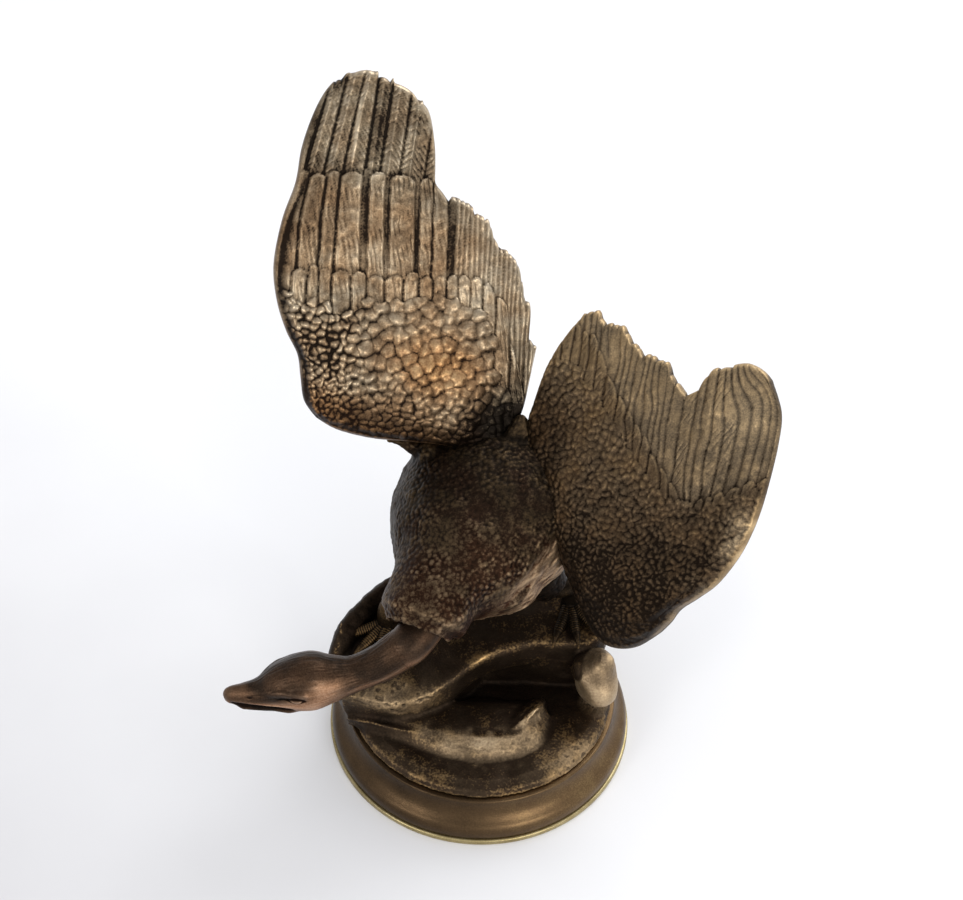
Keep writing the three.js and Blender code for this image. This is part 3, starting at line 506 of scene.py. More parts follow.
def lattice(cells, seed):
    """A repeatable number from 0 to 1 at each whole-numbered place."""
    x, y, z = (cells[..., axis] * HASH_PLACES[axis] for axis in range(3))
    bits = x ^ y ^ z ^ seed * HASH_SEED
    bits = (bits ^ (bits >> 13)) * HASH_SPREAD
    return ((bits ^ (bits >> 16)) & 0xFFFF) / 0xFFFF


def noise(points, size, seed):
    """Smooth noise from -1 to 1 with lumps of about the given size."""
    places = np.asarray(points, float) / size + NOISE_OFFSET
    cells = np.floor(places).astype(np.int64)
    share = places - cells
    share = share * share * (3 - 2 * share)
    total = np.zeros(len(places))
    for corner in itertools.product((0, 1), repeat=3):
        weight = np.where(np.array(corner) == 1, share, 1 - share).prod(axis=-1)
        total += weight * lattice(cells + np.array(corner), seed)
    return 2 * total - 1


def layered_noise(points, size, layers, seed):
    """Noise with finer and weaker layers added."""
    total = np.zeros(len(points))
    for layer in range(layers):
        total += noise(points, size / 2 ** layer, seed + layer) / 2 ** layer
    return total


# Skins: points in millimetres and faces

def grid_faces(rows, columns, closed=False):
    """Quads over a grid of points, joined round when closed."""
    index = np.arange(rows * columns).reshape(rows, columns)
    if closed:
        index = np.hstack([index, index[:, :1]])
    corners = [index[:-1, :-1], index[:-1, 1:], index[1:, 1:], index[1:, :-1]]
    return np.stack(corners, axis=-1).reshape(-1, 4)


def volume(points, faces):
    total = 0
    for group in faces:
        for corner in range(1, group.shape[1] - 1):
            a, b, c = points[group[:, 0]], points[group[:, corner]], points[group[:, corner + 1]]
            total += np.einsum("ij,ij->", a, np.cross(b, c))
    return total


def facing_out(points, faces):
    if volume(points, faces) < 0:
        return points, [group[:, ::-1] for group in faces]
    return points, faces


def loft(rings):
    """Skin over rings of points, with a fan at each end."""
    rows, sides = rings.shape[:2]
    points = np.vstack([rings.reshape(-1, 3), rings[0].mean(axis=0), rings[-1].mean(axis=0)])
    around = np.arange(sides)
    after = np.roll(around, -1)
    first, last, tail = rows * sides, rows * sides + 1, (rows - 1) * sides
    fans = np.vstack([
        np.stack([np.full(sides, first), after, around], axis=-1),
        np.stack([np.full(sides, last), tail + around, tail + after], axis=-1),
    ])
    return facing_out(points, [grid_faces(rows, sides, closed=True), fans])


def limb_rings(stations, rings, sides, top=(0, 0, 1)):
    """Elliptical rings along stations [x, y, z, half width, half height], and their frames."""
    centres = at_shares(spline(stations), np.linspace(0, 1, rings))
    along = np.gradient(centres[:, :3], axis=0)
    along /= np.linalg.norm(along, axis=1, keepdims=True)
    across = np.cross(along, np.array(top, float))
    across /= np.linalg.norm(across, axis=1, keepdims=True)
    over = np.cross(across, along)
    angle = np.linspace(0, 2 * np.pi, sides, endpoint=False)
    wide = centres[:, None, 3:4] * np.cos(angle)[None, :, None]
    high = centres[:, None, 4:5] * np.sin(angle)[None, :, None]
    return centres[:, None, :3] + wide * across[:, None] + high * over[:, None], angle


def limb(stations, rings=40, sides=40, top=(0, 0, 1)):
    return loft(limb_rings(stations, rings, sides, top)[0])


def raised(stations):
    """Stations measured from where the bird stands, moved to the whole object's frame."""
    return [(x, y, z + STAND_LEVEL, *sizes) for x, y, z, *sizes in stations]


def node_skin(name):
    """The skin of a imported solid."""
    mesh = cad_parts[name].data
    points = np.empty(len(mesh.vertices) * 3)
    mesh.vertices.foreach_get("co", points)
    mesh.calc_loop_triangles()
    corners = np.empty(len(mesh.loop_triangles) * 3, int)
    mesh.loop_triangles.foreach_get("vertices", corners)
    return points.reshape(-1, 3) / MM, [corners.reshape(-1, 3)]


def mesh_from(name, points, faces, scale):
    mesh = bpy.data.meshes.new(name)
    mesh.from_pydata((points * scale).tolist(), [], [face for group in faces for face in group.tolist()])
    return mesh


def fused(skins, voxel):
    """One skin of quads round several closed skins."""
    points, faces, start = [], [], 0
    for skin_points, skin_faces in skins:
        points.append(skin_points)
        faces += [group + start for group in skin_faces]
        start += len(skin_points)
    mesh = mesh_from("parts", np.vstack(points), faces, 1)
    whole = bpy.data.objects.new("parts", mesh)
    bpy.context.scene.collection.objects.link(whole)
    remesh = whole.modifiers.new("fuse", "REMESH")
    remesh.mode = "VOXEL"
    remesh.voxel_size = voxel
    result = bpy.data.meshes.new_from_object(whole.evaluated_get(bpy.context.evaluated_depsgraph_get()))
    places = np.empty(len(result.vertices) * 3)
    result.vertices.foreach_get("co", places)
    corners = np.empty(len(result.loops), int)
    result.loops.foreach_get("vertex_index", corners)
    bpy.data.objects.remove(whole)
    bpy.data.meshes.remove(mesh)
    bpy.data.meshes.remove(result)
    return places.reshape(-1, 3), corners.reshape(-1, 4)


def links(faces):
    """Both ends of every edge, in both directions."""
    starts, ends = [], []
    for group in faces:
        for corner in range(group.shape[1]):
            a, b = group[:, corner], group[:, (corner + 1) % group.shape[1]]
            starts += [a, b]
            ends += [b, a]
    return np.concatenate(starts), np.concatenate(ends)


def neighbour_mean(values, edges):
    starts, ends = edges
    count = np.maximum(np.bincount(starts, minlength=len(values)), 1)
    columns = [np.bincount(starts, weights=column[ends], minlength=len(values)) for column in values.T]
    return np.stack(columns, axis=-1) / count[:, None]


def smoothed(points, edges, rounds, share=0.5):
    for _ in range(rounds):
        points = points + share * (neighbour_mean(points, edges) - points)
    return points


def normals(points, faces):
    total = np.zeros_like(points)
    for group in faces:
        across = points[group[:, 2]] - points[group[:, 0]]
        other = points[group[:, -1]] - points[group[:, 1]]
        face = np.cross(across, other)
        for corner in range(group.shape[1]):
            for axis in range(3):
                total[:, axis] += np.bincount(group[:, corner], weights=face[:, axis], minlength=len(points))
    return total / np.maximum(np.linalg.norm(total, axis=1, keepdims=True), 1e-12)


def wear(points, faces, rounds, depth):
    """How far each point stands over the skin round it, from 0 in a recess to 1 on an edge."""
    edges = links(faces)
    over = np.einsum("ij,ij->i", points - smoothed(points, edges, rounds, 0.7), normals(points, faces))
    return np.clip(0.5 + over / (2 * depth), 0, 1)


def add_piece(name, points, faces, material, slot, replaces, **values):
    """A visible piece: its skin in metres, its values for the material, and what it stands for."""
    points, faces = facing_out(points, faces)
    mesh = mesh_from(name, points, faces, MM)
    mesh.shade_smooth()
    for label, numbers in values.items():
        attribute = mesh.attributes.new(label, "FLOAT", "POINT")
        attribute.data.foreach_set("value", np.broadcast_to(numbers, len(points)).astype(np.float32))
    mesh.materials.append(material)
    piece = bpy.data.objects.new(name, mesh)
    bpy.context.scene.collection.objects.link(piece)
    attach(piece, "root")
    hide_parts(replaces)
    return piece


# Scales: cobbles round scattered centres

def scattered(points, spacing, rng):
    """Points picked in a mixed order, none nearer to another than its spacing."""
    cells, chosen = {}, []
    size = spacing.max()
    for index in rng.permutation(len(points)):
        place, room = points[index], spacing[index]
        cell = tuple((place // size).astype(int))
        near = itertools.product(*[range(c - 1, c + 2) for c in cell])
        others = [other for key in near for other in cells.get(key, ())]
        if not others or ((points[others] - place) ** 2).sum(axis=1).min() > room * room:
            cells.setdefault(cell, []).append(index)
            chosen.append(index)
    return np.array(chosen)


def scale_skin(points, centres, sizes, slope, rng):
    """Height of domed scales that overlap a little along the slope, and which scale each point is on."""
    tree = KDTree(len(centres))
    for index, centre in enumerate(centres):
        tree.insert(centre, index)
    tree.balance()
    lift = rng.uniform(-SCALE_LIFT, SCALE_LIFT, len(centres))
    found = np.array([[near[1] for near in tree.find_n(point, 4)] for point in points])
    offset = (points[:, None] - centres[found]) / sizes[:, None, None]
    height = 1 + lift[found] + offset @ np.array(slope) - (offset ** 2).sum(axis=-1)
    best = height.argmax(axis=1)
    each = np.arange(len(points))
    return np.clip((height[each, best] - SCALE_FLOOR) / SCALE_DOME, 0, 1.1), found[each, best]


# Wings

def wing_chart(plan):
    """Patch between the four edges: shares u and v, and chart places s and t."""
    u = np.linspace(0, 1, WING_COLUMNS + 1)
    v = np.linspace(0, 1, WING_ROWS + 1)
    arm, tips = (at_shares(spline(plan[edge]), u) for edge in ("arm", "tips"))
    inner, outer = (at_shares(spline(plan[edge]), v) for edge in ("inner", "outer"))
    u, v = u[None, :, None], v[:, None, None]
    corners = (1 - u) * (1 - v) * arm[0] + u * (1 - v) * arm[-1] + (1 - u) * v * tips[0] + u * v * tips[-1]
    patch = (1 - v) * arm[None] + v * tips[None] + (1 - u) * inner[:, None] + u * outer[:, None] - corners
    u, v = np.broadcast_arrays(u[..., 0], v[..., 0])
    return u, v, patch[..., 0], patch[..., 1]


def lanes(position, gaps):
    """Which feather a place is on, how far from its middle (-1 to 1), and the feather's width."""
    edges = np.sort(np.array(gaps, float))
    lane = np.clip(np.searchsorted(edges, position) - 1, 0, len(edges) - 2)
    width = edges[lane + 1] - edges[lane]
    return lane, np.clip(2 * (position - edges[lane]) / width - 1, -1, 1), width


def plate(place, width):
    """A flat feather with rounded sides, tilted over its neighbour."""
    size = np.clip(width / 4, 0.35, 1)
    side = ramp((1 - np.abs(place)) * width / 2, 0, GAP_WIDTH * size)
    return size * (PLATE_RELIEF * side + FEATHER_TILT * place)


def ridge(place, width):
    """A narrow rounded strand."""
    return RIDGE_RELIEF * np.clip(width / 1.8, 0.6, 1.3) * (1 - np.abs(place) ** 2.5)


def shaft(place, width):
    return SHAFT_HEIGHT * mound(place * width / 2, SHAFT_RADIUS)


def flat_noise(s, t, size, seed):
    """Noise over the chart."""
    points = np.stack([s.ravel(), t.ravel(), np.zeros(s.size)], axis=-1)
    return noise(points, size, seed).reshape(s.shape)


def strokes(across, along, slope, seed):
    """Broken engraved lines that slant across the feathers."""
    waver = 2 * flat_noise(across, along, 2.5, seed)
    line_at = np.cos(2 * np.pi * (along - slope * across) / STROKE_SPACING + waver)
    broken = ramp(flat_noise(across, along, 2.2, seed + 40), -0.45, 0.35)
    return -STROKE_DEPTH * ramp(line_at, 0.4, 0.95) * broken


def all_gaps(plan):
    """Gaps of the broad feathers, then the fine ones down to the body."""
    fine = np.arange(plan["feather_gaps"][-1] - plan["fine_gap"], FEATHERS_FROM, -plan["fine_gap"])
    return [*plan["feather_gaps"], *fine]


def chart_cobbles(s, t, plan, rng):
    """Scale relief over the chart, and where the scales lie: whole scales up to the line they end at."""
    def size(x, y):
        return line(plan["scale_sizes"])(y) * line(plan["scale_shrink"])(x)

    picks = rng.uniform((s.min(), t.min(), 0), (s.max(), SCALES_TO, 0), (WING_PICKS, 3))
    centres = picks[scattered(picks, size(picks[:, 0], picks[:, 1]), rng)]
    warp = [0.5 * flat_noise(s, t, 1.4, SEED + seed).ravel() for seed in (15, 16)]
    points = np.stack([s.ravel() + warp[0], t.ravel() + warp[1], np.zeros(s.size)], axis=-1)
    height, nearest = scale_skin(points, centres, size(s.ravel(), t.ravel()), (0, 0.35, 0), rng)
    whole = (centres[:, 1] < line(plan["scales_end"])(centres[:, 0]))[nearest]
    return height.reshape(s.shape), whole.reshape(s.shape)


def ends_before(t, end, place, lane, seed):
    """Where a feather's rounded tip lies beyond this place."""
    wobble = np.random.default_rng(seed).uniform(-1, 1, MOST_FEATHERS)[lane] * TIP_JITTER
    return t < end + wobble - TIP_ROUND * place ** 2


def least(first, second, blend):
    """The smaller of two values, blended where they meet."""
    share = np.clip(0.5 + 0.5 * (second - first) / blend, 0, 1)
    return second + (first - second) * share - blend * share * (1 - share)


def leaning(s, t, plan, lean="lean"):
    """Place across feathers that lean outwards along their length."""
    return s - eased(plan[lean])(s) * (t - plan["lean_from"])


def feather_place(s, t, rim, plan):
    """Place across the feathers: they lean outwards, and bend round the outer lobe with its rim."""
    straight = leaning(s, t, plan)
    share = ramp(s, *plan["lobe"])
    wave = flat_noise(s, t * 0.5, 5, SEED + 5) + 0.35 * flat_noise(s, t * 0.4, 1.6, SEED + 19)
    straight = straight + plan["waviness"] * (1 - share) * wave
    bent = s.max() - rim
    return straight + (bent - straight) * share


def upper_relief(s, t, rim, plan, rng):
    """Layers of the upper face, from the primaries at the tips to the scales on the arm."""
    far = leaning(s, t, plan, "primary_lean") + PRIMARY_SHIFT
    _, place, width = lanes(far, plan["primary_gaps"])
    aside = np.abs(place - SHAFT_PLACE) * width / 2
    barbs = strokes(aside, BARB_STRETCH * t, BARB_SLOPE, SEED + 6)
    height = plate(place, width) + shaft(place - SHAFT_PLACE, width) + barbs

    near = feather_place(s, t, rim, plan)
    lane, place, width = lanes(near, all_gaps(plan))
    broad = ramp(width, 2.4, 3)
    strand = (near < plan["feather_gaps"][-1]) | (width > VALLEY_WIDTH)
    coverts = broad * (plate(place, width) + strokes(s, t, STROKE_SLOPE, SEED + 7))
    coverts = COVERT_LEVEL + plan["relief"] * (coverts + (1 - broad) * strand * ridge(place, width))
    height = np.where(ends_before(t, line(plan["coverts_end"])(s), place, lane, SEED), coverts, height)

    tile_gaps = np.cumsum(rng.uniform(*plan["tile_widths"], TILES)) + TILES_FROM
    lane, place, width = lanes(near, tile_gaps)
    tiles = TILE_LEVEL + plate(place, width) + 0.6 * strokes(s, t, STROKE_SLOPE, SEED + 8)
    height = np.where(ends_before(t, line(plan["tiles_end"])(s), place, lane, SEED + 1), tiles, height)

    scales, scaled = chart_cobbles(s, t, plan, rng)
    scales = plan["scale_height"] * (0.4 + 0.6 * ramp(t, *plan["scale_fade"])) * scales
    height = np.where(scaled, SCALE_LEVEL + scales, height)
    return height + 0.08 * flat_noise(s, t, 1.1, SEED + 9) + 0.25 * flat_noise(s, t, 5, SEED + 10)


def lower_relief(s, t, plan):
    """Long feathers of the underside, fading out towards the arm."""
    gaps = np.arange(FEATHERS_FROM, FEATHERS_TO, UNDERSIDE_FEATHER)
    _, place, width = lanes(leaning(s, t, plan), gaps)
    rows = 0.5 * fall(t, 18, 19) + 0.4 * fall(t, 34, 35)
    return rows + (plate(place, width) + shaft(place, width)) * ramp(t, 0, 8)


def rim_distances(u, v, s, t):
    """Distances to the inner, outer, arm and tip edges."""
    wide = np.linalg.norm([s[:, -1] - s[:, 0], t[:, -1] - t[:, 0]], axis=0)[:, None]
    long = np.linalg.norm([s[-1] - s[0], t[-1] - t[0]], axis=0)[None, :]
    return u * wide, (1 - u) * wide, v * long, (1 - v) * long


def wing_thickness(u, v):
    arm = ARM_THICKNESS * eased(ARM_ACROSS)(v) * eased(ARM_ALONG)(u)
    hand = HAND_THICKNESS * eased(HAND_ACROSS)(v) * eased(HAND_ALONG)(u)
    return np.maximum(np.maximum(arm, hand), BLADE_THICKNESS)


def ragged_tips(v, s, t, plan):
    """Feather tips along the outer end: rounded, and a little uneven in length."""
    lane, place, width = lanes(leaning(s, t, plan), all_gaps(plan))
    short = np.random.default_rng(SEED + 2).uniform(0, 1.5, MOST_FEATHERS)[lane]
    short = short * np.clip(width / 3, 0.6, 1)
    ragged = fall(s, *plan["lobe"])
    return t + (TIP_REACH - (short + 0.5 * place ** 2) * ragged) * v ** 14


def rounded_in(distance, reach):
    """A quarter round: 0 at the rim, and 1 from the given reach inwards."""
    return np.sqrt(1 - (1 - np.clip(distance / reach, 0, 1)) ** 2)


def half_thickness(plan, u, v, t, rims):
    """Half the wing's thickness: round at the rim, full along the leading edge and the arm."""
    nearest = np.minimum.reduce(rims)
    _, outer, arm, _ = rims
    leading = np.clip(1 - np.minimum(arm, outer + 0.12 * np.maximum(t, 0)) / 3, 0, 1)
    rim = RIM_THICKNESS + (plan["leading"] - RIM_THICKNESS) * leading
    thickness = np.maximum(wing_thickness(u, v), rim)
    blade = np.minimum(thickness, np.maximum(rim, BLADE_THICKNESS))
    edge = EDGE_THICKNESS + (blade - EDGE_THICKNESS) * rounded_in(nearest, RIM_ROUND)
    return (edge + (thickness - blade) * rounded_in(nearest, plan["swell"])) / 2


def banded(relief, t, outer, plan):
    """Relief with a plain band along the leading edge."""
    band = fall(outer, plan["band"], plan["band"] + 1.5) * fall(t, 50, 62)
    return relief + 0.75 * band * (SCALE_LEVEL + 0.35 - relief)


def wing_frame(plan):
    """The shoulder's place, and the ways along the arm, along the feathers and out of the upper face."""
    along = unit(plan["featherway"])
    across = unit(np.cross(along, plan["upper"]))
    base = np.array(plan["shoulder"]) + (0, 0, STAND_LEVEL)
    return base, plan["side"] * across, along, np.cross(across, along)


def wing_skin(plan, rng):
    """Upper face on the full grid, lower face on a coarser one, and a strip round the rim."""
    u, v, s, t = wing_chart(plan)
    rims = rim_distances(u, v, s, t)
    inner, outer, _, tip = rims
    rounding = rounded_in(np.minimum.reduce(rims), RIM_ROUND)
    half = half_thickness(plan, u, v, t, rims)
    camber = (WING_CAMBER + SPAN_CAMBER * np.sin(np.pi * u)) * np.sin(np.pi * v ** CAMBER_FORWARD)
    relief = banded(upper_relief(s, t, least(outer, tip, 4), plan, rng), t, outer, plan)
    upper = camber + half + relief * rounding
    lower = camber - half - 0.5 * lower_relief(s, t, plan) * rounding
    base, across, along, out = wing_frame(plan)
    sheet = base + s[..., None] * across + ragged_tips(v, s, t, plan)[..., None] * along
    coarse = (slice(None, None, UNDERSIDE_STEP),) * 2
    bottom = (sheet + lower[..., None] * out)[coarse]
    points, faces = facing_out(*stitched(sheet + upper[..., None] * out, bottom))
    chart = [np.concatenate([grid.ravel(), grid[coarse].ravel()]) for grid in (s, t, inner, outer)]
    return points, faces, chart, np.arange(len(points)) >= s.size


def rim_loop(rows, columns):
    """Indices round a grid's rim, in order."""
    index = np.arange(rows * columns).reshape(rows, columns)
    return np.concatenate([index[0, :-1], index[:-1, -1], index[-1, :0:-1], index[:0:-1, 0]])


def stitched(top, bottom):
    """Joins a fine upper grid to a lower grid of every third point."""
    upper_rim = rim_loop(*top.shape[:2])
    lower_rim = rim_loop(*bottom.shape[:2]) + top.shape[0] * top.shape[1]
    points = np.vstack([top.reshape(-1, 3), bottom.reshape(-1, 3)])
    upper = grid_faces(*top.shape[:2])
    lower = grid_faces(*bottom.shape[:2])[:, ::-1] + top.shape[0] * top.shape[1]
    first, second, third = (upper_rim[step::UNDERSIDE_STEP] for step in range(UNDERSIDE_STEP))
    fourth = np.roll(first, -1)
    below, after = lower_rim, np.roll(lower_rim, -1)
    corners = (
        (first, below, second), (second, below, third), (third, below, after), (third, after, fourth),
    )
    strip = np.vstack([np.stack(three, axis=-1) for three in corners])
    return points, [np.vstack([upper, lower]), strip]


def spot(x, y, centre, reach):
    """A soft round patch on a chart."""
    return np.exp(-((x - centre[0]) / reach[0]) ** 2 - ((y - centre[1]) / reach[1]) ** 2)


def right_wing_tone(chart):
    """Golden over the big scales, worn gold with a painted sheen, red-brown along the arm, olive elsewhere.
    """
    s, t, *_ = chart
    coverts = 0.16 * stretch(t, 22, 32, 46, 54) * ramp(s, 2, 14)
    gold = 0.7 * spot(s, t, *GOLDEN_WEAR_AND_SHEEN)
    arm = 0.6 * fall(t, -2, 10) + 0.12 * ramp(s, 22, 30) * fall(t, 18, 24)
    root = 0.3 * fall(s, -14, -2) * fall(t, 10, 30)
    return np.clip(0.04 + coverts + gold + arm - root, 0, 1)


def right_wing_shade(chart):
    """Painted shade along the arm where it turns under, on the leading and inner edges and by the body;
    darker valleys between feathers.
    """
    s, t, inner, outer = chart
    arm = 0.34 * fall(t, -3, 9)
    edge = 0.4 * fall(outer, 0, 3) + 0.5 * fall(inner, 0, 2.5) * fall(t, 12, 22)
    body = 0.2 * fall(s, -14, -5) * fall(t, 12, 26) + 0.42 * fall(s, -10, 5) * fall(t, 8, 21)
    return arm + edge + body + wrist_shade(s, t) + covert_shade(s, t) + primary_shade(s, t)


def wrist_shade(s, t):
    """A dull wrist with one painted dark groove and one painted glint."""
    groove = 0.25 * spot(s - 0.32 * (t - 9), t, *WRIST_GROOVE)
    glint = 0.2 * spot(s, t, *WRIST_GLINT)
    return 0.12 * spot(s, t, *DULL_WRIST) + groove - glint


def covert_shade(s, t):
    """Dark valleys between the broad feathers, a dull outer band and pale strands by the body."""
    near = s - VALLEY_LEAN * (t - RIGHT_WING["lean_from"])
    valleys = 0.32 * sum(spot(near, t, (centre, 45), (half, 9)) for centre, half in VALLEYS)
    band = 0.1 * ramp(s, 37, 41) * stretch(t, 26, 30, 52, 56)
    return valleys + band - 0.12 * ramp(t, 26, 34) * fall(s, 8, 12)


def primary_shade(s, t):
    """The one bright shaft, the feather that lies deep beside it, and the dull outermost one."""
    across = s - PRIMARY_LEAN * (t - RIGHT_WING["lean_from"])
    bright = 0.4 * spot(across, t, *BRIGHT_SHAFT)
    deep = 0.25 * spot(across, t, *DEEP_FEATHER) + 0.14 * ramp(across, 43, 46)
    return (deep - bright + 0.04) * ramp(t, 52, 57)


def right_wing_gain(chart):
    """Stronger contrast round the wrist and on the big scales, which paints highlights on the scale tops."""
    s, t, *_ = chart
    return 1 + 0.4 * spot(s, t, *WRIST_HIGHLIGHTS) + 0.25 * spot(s, t, *GOLDEN_WEAR_AND_SHEEN)


def even_gain(chart):
    return np.ones_like(chart[0])


def underside_shade(chart):
    """An even patina, with painted shade along the leading edge."""
    *_, outer = chart
    return 0.16 + 0.3 * fall(outer, 0, 3)


def rubbed_lit_edge(s, t):
    """The stretch of the left wing's outer edge that is worn bright, with a painted highlight."""
    edge = ramp(s, 41, 47) * stretch(t, -2, 4, 9, 16) + 0.5 * spot(s, t, *RUBBED_LIT_HAND)
    return edge * (0.55 + 0.6 * flat_noise(s - 0.5 * t, 0.3 * t, 0.8, SEED + 18))


def left_wing_tone(chart):
    """Dark by the body, olive along the strands, worn golden with a painted highlight on the lower outer
    edge.
    """
    s, t, _, outer = chart
    strand = 0.3 * ramp(t - line(LEFT_WING["tiles_end"])(s), -3, 2)
    pale = 0.25 * spot(s, t, *PALE_LOBE) + 0.25 * spot(s, t, *PALE_ROOT)
    rim = 0.4 * fall(outer, 0, 2.5) * fall(t, -6, 2)
    return np.clip(0.05 + 0.12 * ramp(s, -6, 14) + strand + pale + rim + 0.8 * rubbed_lit_edge(s, t), 0, 1)


def left_wing_shade(chart):
    """Darkest on the low hand, with painted shade by the body and on the rim."""
    s, t, _, outer = chart
    body = 0.2 * fall(s, -8, 6) * fall(t, 25, 42)
    rim = 0.35 * fall(outer, 0, 2) * ramp(t, 13, 20)
    low = 0.32 * fall(t, -14, 22) * ramp(outer, 0.5, 3) + rim
    return low * (1 - rubbed_lit_edge(s, t)) + body - 0.08 * ramp(t, 22, 34)


# Torso, head, tail and feet

def ruff_petals(rng):
    """Short flat feathers that ring the root of the neck."""
    front, back = (np.array(station[:3]) + (0, 0, STAND_LEVEL) for station in TORSO[:2])
    along = unit(front - back)
    across = unit(np.cross(along, (0, 0, 1)))
    over = np.cross(across, along)
    angles = np.linspace(0, 2 * np.pi, RUFF_PETALS, endpoint=False)
    petals = []
    for angle in angles + rng.uniform(-0.1, 0.1, RUFF_PETALS):
        spread = np.cos(angle) * across + np.sin(angle) * over
        reach = RUFF_REACH * rng.uniform(0.85, 1.15)
        stations = [
            (*(back + RUFF_ROOT * spread), 1.4, 0.7), (*(front + RUFF_RADIUS * spread), 1.9, 0.8),
            (*(front + RUFF_DIP * spread + 0.6 * reach * along), 1.7, 0.6),
            (*(front + RUFF_RADIUS * spread + reach * along), 0.6, 0.4),
        ]
        petals.append(limb(stations, rings=16, sides=14, top=tuple(spread)))
    return petals


def torso_parts(rng):
    thighs = []
    for leg in LEGS.values():
        stations = [(*leg[joint], LEG_RADII[joint], LEG_RADII[joint]) for joint in ("hip", "knee", "hock")]
        thighs.append(limb(raised(stations), rings=24, sides=28, top=LEVEL_TOP))
    trunk = limb(raised(TORSO), rings=60, sides=72)
    breast = limb(raised(BREAST), rings=40, sides=60)
    joins = [limb(raised(stations), rings=30, top=LEVEL_TOP) for stations in (ARMPIT, MANTLE)]
    shoulder = limb(raised(RIGHT_SHOULDER), rings=30)
    return [trunk, breast, shoulder, *joins, *thighs, *ruff_petals(rng)]


def segment_distance(points, start, end):
    """Distance of each point from a straight line between two places."""
    start, end = np.array(start, float), np.array(end, float)
    share = np.clip((points - start) @ (end - start) / ((end - start) @ (end - start)), 0, 1)
    return np.linalg.norm(points - start - share[:, None] * (end - start), axis=1)


def torso_regions(points, out):
    """Shares of the smooth breast, pale with painted light from below, its glinting lip, the left thigh, dark
    with painted shade under the breast, the front and the ruff.
    """
    x, y, z = points.T
    left_leg = raised([LEGS["left_foot"][joint] for joint in ("knee", "hock")])
    thigh = fall(segment_distance(points, *left_leg), 6.6, 7.6)
    turned = out @ unit(BREAST_FACING) + 0.28 * ramp(x, 7, 14) * ramp(z, 50, 56)
    breast = ramp(turned, 0.58, 0.72) * ramp(y, -12, -8) * (1 - thigh)
    broken = ramp(noise(points, 1.6, SEED + 34), -0.1, 0.3)
    lip = mound(turned - 0.5, 0.07) * ramp(-y, 4, 9) * broken
    ruff = ramp(-y, 8, 16) * ramp(60 - z, 0, 8)
    return breast, lip, thigh, ramp(-y, -10, 16), ruff


def torso_scales(points, rng):
    """Heights of the pebbled feathers, and a chance number for the feather each point is on."""
    picks = points[rng.choice(len(points), BODY_PICKS, replace=False)]
    centres = picks[scattered(picks, BODY_SCALE * (0.85 + 0.3 * noise(picks, 8, SEED)), rng)]
    sizes = np.full(len(points), BODY_SCALE)
    warp = np.stack([noise(points, 1.2, SEED + seed) for seed in (31, 32, 33)], axis=-1)
    scales, nearest = scale_skin(points + 0.35 * warp, centres, sizes, (0.12, 0.25, 0), rng)
    return scales * (0.7 + 0.5 * noise(points, 3, SEED + 2)), rng.random(len(centres))[nearest]


def breast_hair(points):
    """Fine lines along the smooth breast."""
    along, across, over = (unit(way) for way in BREAST_GRAIN)
    strand = points @ np.array((along * BREAST_STRETCH, across, over)).T
    return noise(strand, 0.8, SEED + 3) + 0.5 * noise(strand, 0.4, SEED + 4)


def torso_skin(rng):
    """Fused body with pebbled feathers, smooth and finely lined under the breast."""
    points, quads = fused(torso_parts(rng), TORSO_VOXEL)
    points = smoothed(points, links([quads]), rounds=12)
    out = normals(points, [quads])
    breast, lip, thigh, front, ruff = torso_regions(points, out)
    scales, chance = torso_scales(points, rng)
    lift = BODY_SCALE_HEIGHT * scales * (1 - breast) + 0.2 * breast_hair(points) * breast
    lumps = 0.3 * noise(points, 6, SEED + 1) + 0.15 * noise(points, 2.5, SEED + 6)
    # The breast's paleness is painted light from below; the thigh's darkness is painted shade under the
    # breast
    tone = 0.02 + 0.2 * front + 0.48 * ruff + 0.58 * breast + 0.35 * lip
    glint = chance ** 7 * scales * (0.3 + 0.7 * front)
    rub_light_and_shade = 0.4 * glint + 0.14 * lip + 0.2 * breast - 0.2 * thigh - 0.2 * ruff * (1 - breast)
    points = points + (lift - BODY_SCALE_HEIGHT + lumps)[:, None] * out
    return points, [quads], np.clip(tone, 0, 1), rub_light_and_shade


def off_crown(angle):
    """Degrees down either side of the head from its crown."""
    return np.degrees(np.abs((angle - np.pi / 2 + np.pi) % (2 * np.pi) - np.pi))


def head_relief(share, side, radius):
    """Heights of brow, eye, gape, nostril and jaw over the plain loft, and how much each point is darkened.
    """
    def off(curve):
        return np.radians(side - curve) * radius

    fold = off(eased(EYE_FOLD)(share))
    mouth = eased(GAPE)(share)
    almond = np.hypot((share - EYE[0] - 0.006) * HEAD_LENGTH / EYE_LENGTH, fold / EYE_HEIGHT)
    brow = 0.45 * mound(off(eased(BROW)(share)), 0.75) * stretch(share, 0.65, 0.69, 0.79, 0.85)
    eye = 0.45 * np.sqrt(np.clip(1 - almond ** 2, 0, 1))
    socket = mound(almond - 1.15, 0.3)
    crease = mound(fold, 0.4) * stretch(share, 0.73, 0.75, 0.77, 0.8)
    gape = mound(off(mouth), 0.75) * stretch(share, 0.725, 0.76, 0.965, 0.985)
    jaw = 0.8 * ramp(off(mouth), 0.1, 1.2) * stretch(share, 0.7, 0.78, 0.93, 0.97)
    lips = 0.15 * mound(off(mouth - 16), 0.5) * ramp(share, 0.76, 0.84)
    nostril = mound((share - NOSTRIL[0]) * HEAD_LENGTH, 0.7) * mound(off(NOSTRIL[1]), 0.3)
    culmen = 0.2 * mound(off(0), 0.9) * stretch(share, 0.83, 0.9, 0.97, 1.0)
    height = brow + eye + jaw + lips + culmen - 0.35 * socket - 0.3 * crease - 0.9 * gape - 0.25 * nostril
    hollow_darkening = 0.8 * socket + 0.5 * crease + 1.2 * gape + 0.3 * nostril + 0.15 * (almond < 0.8)
    return height, np.clip(hollow_darkening, 0, 1)


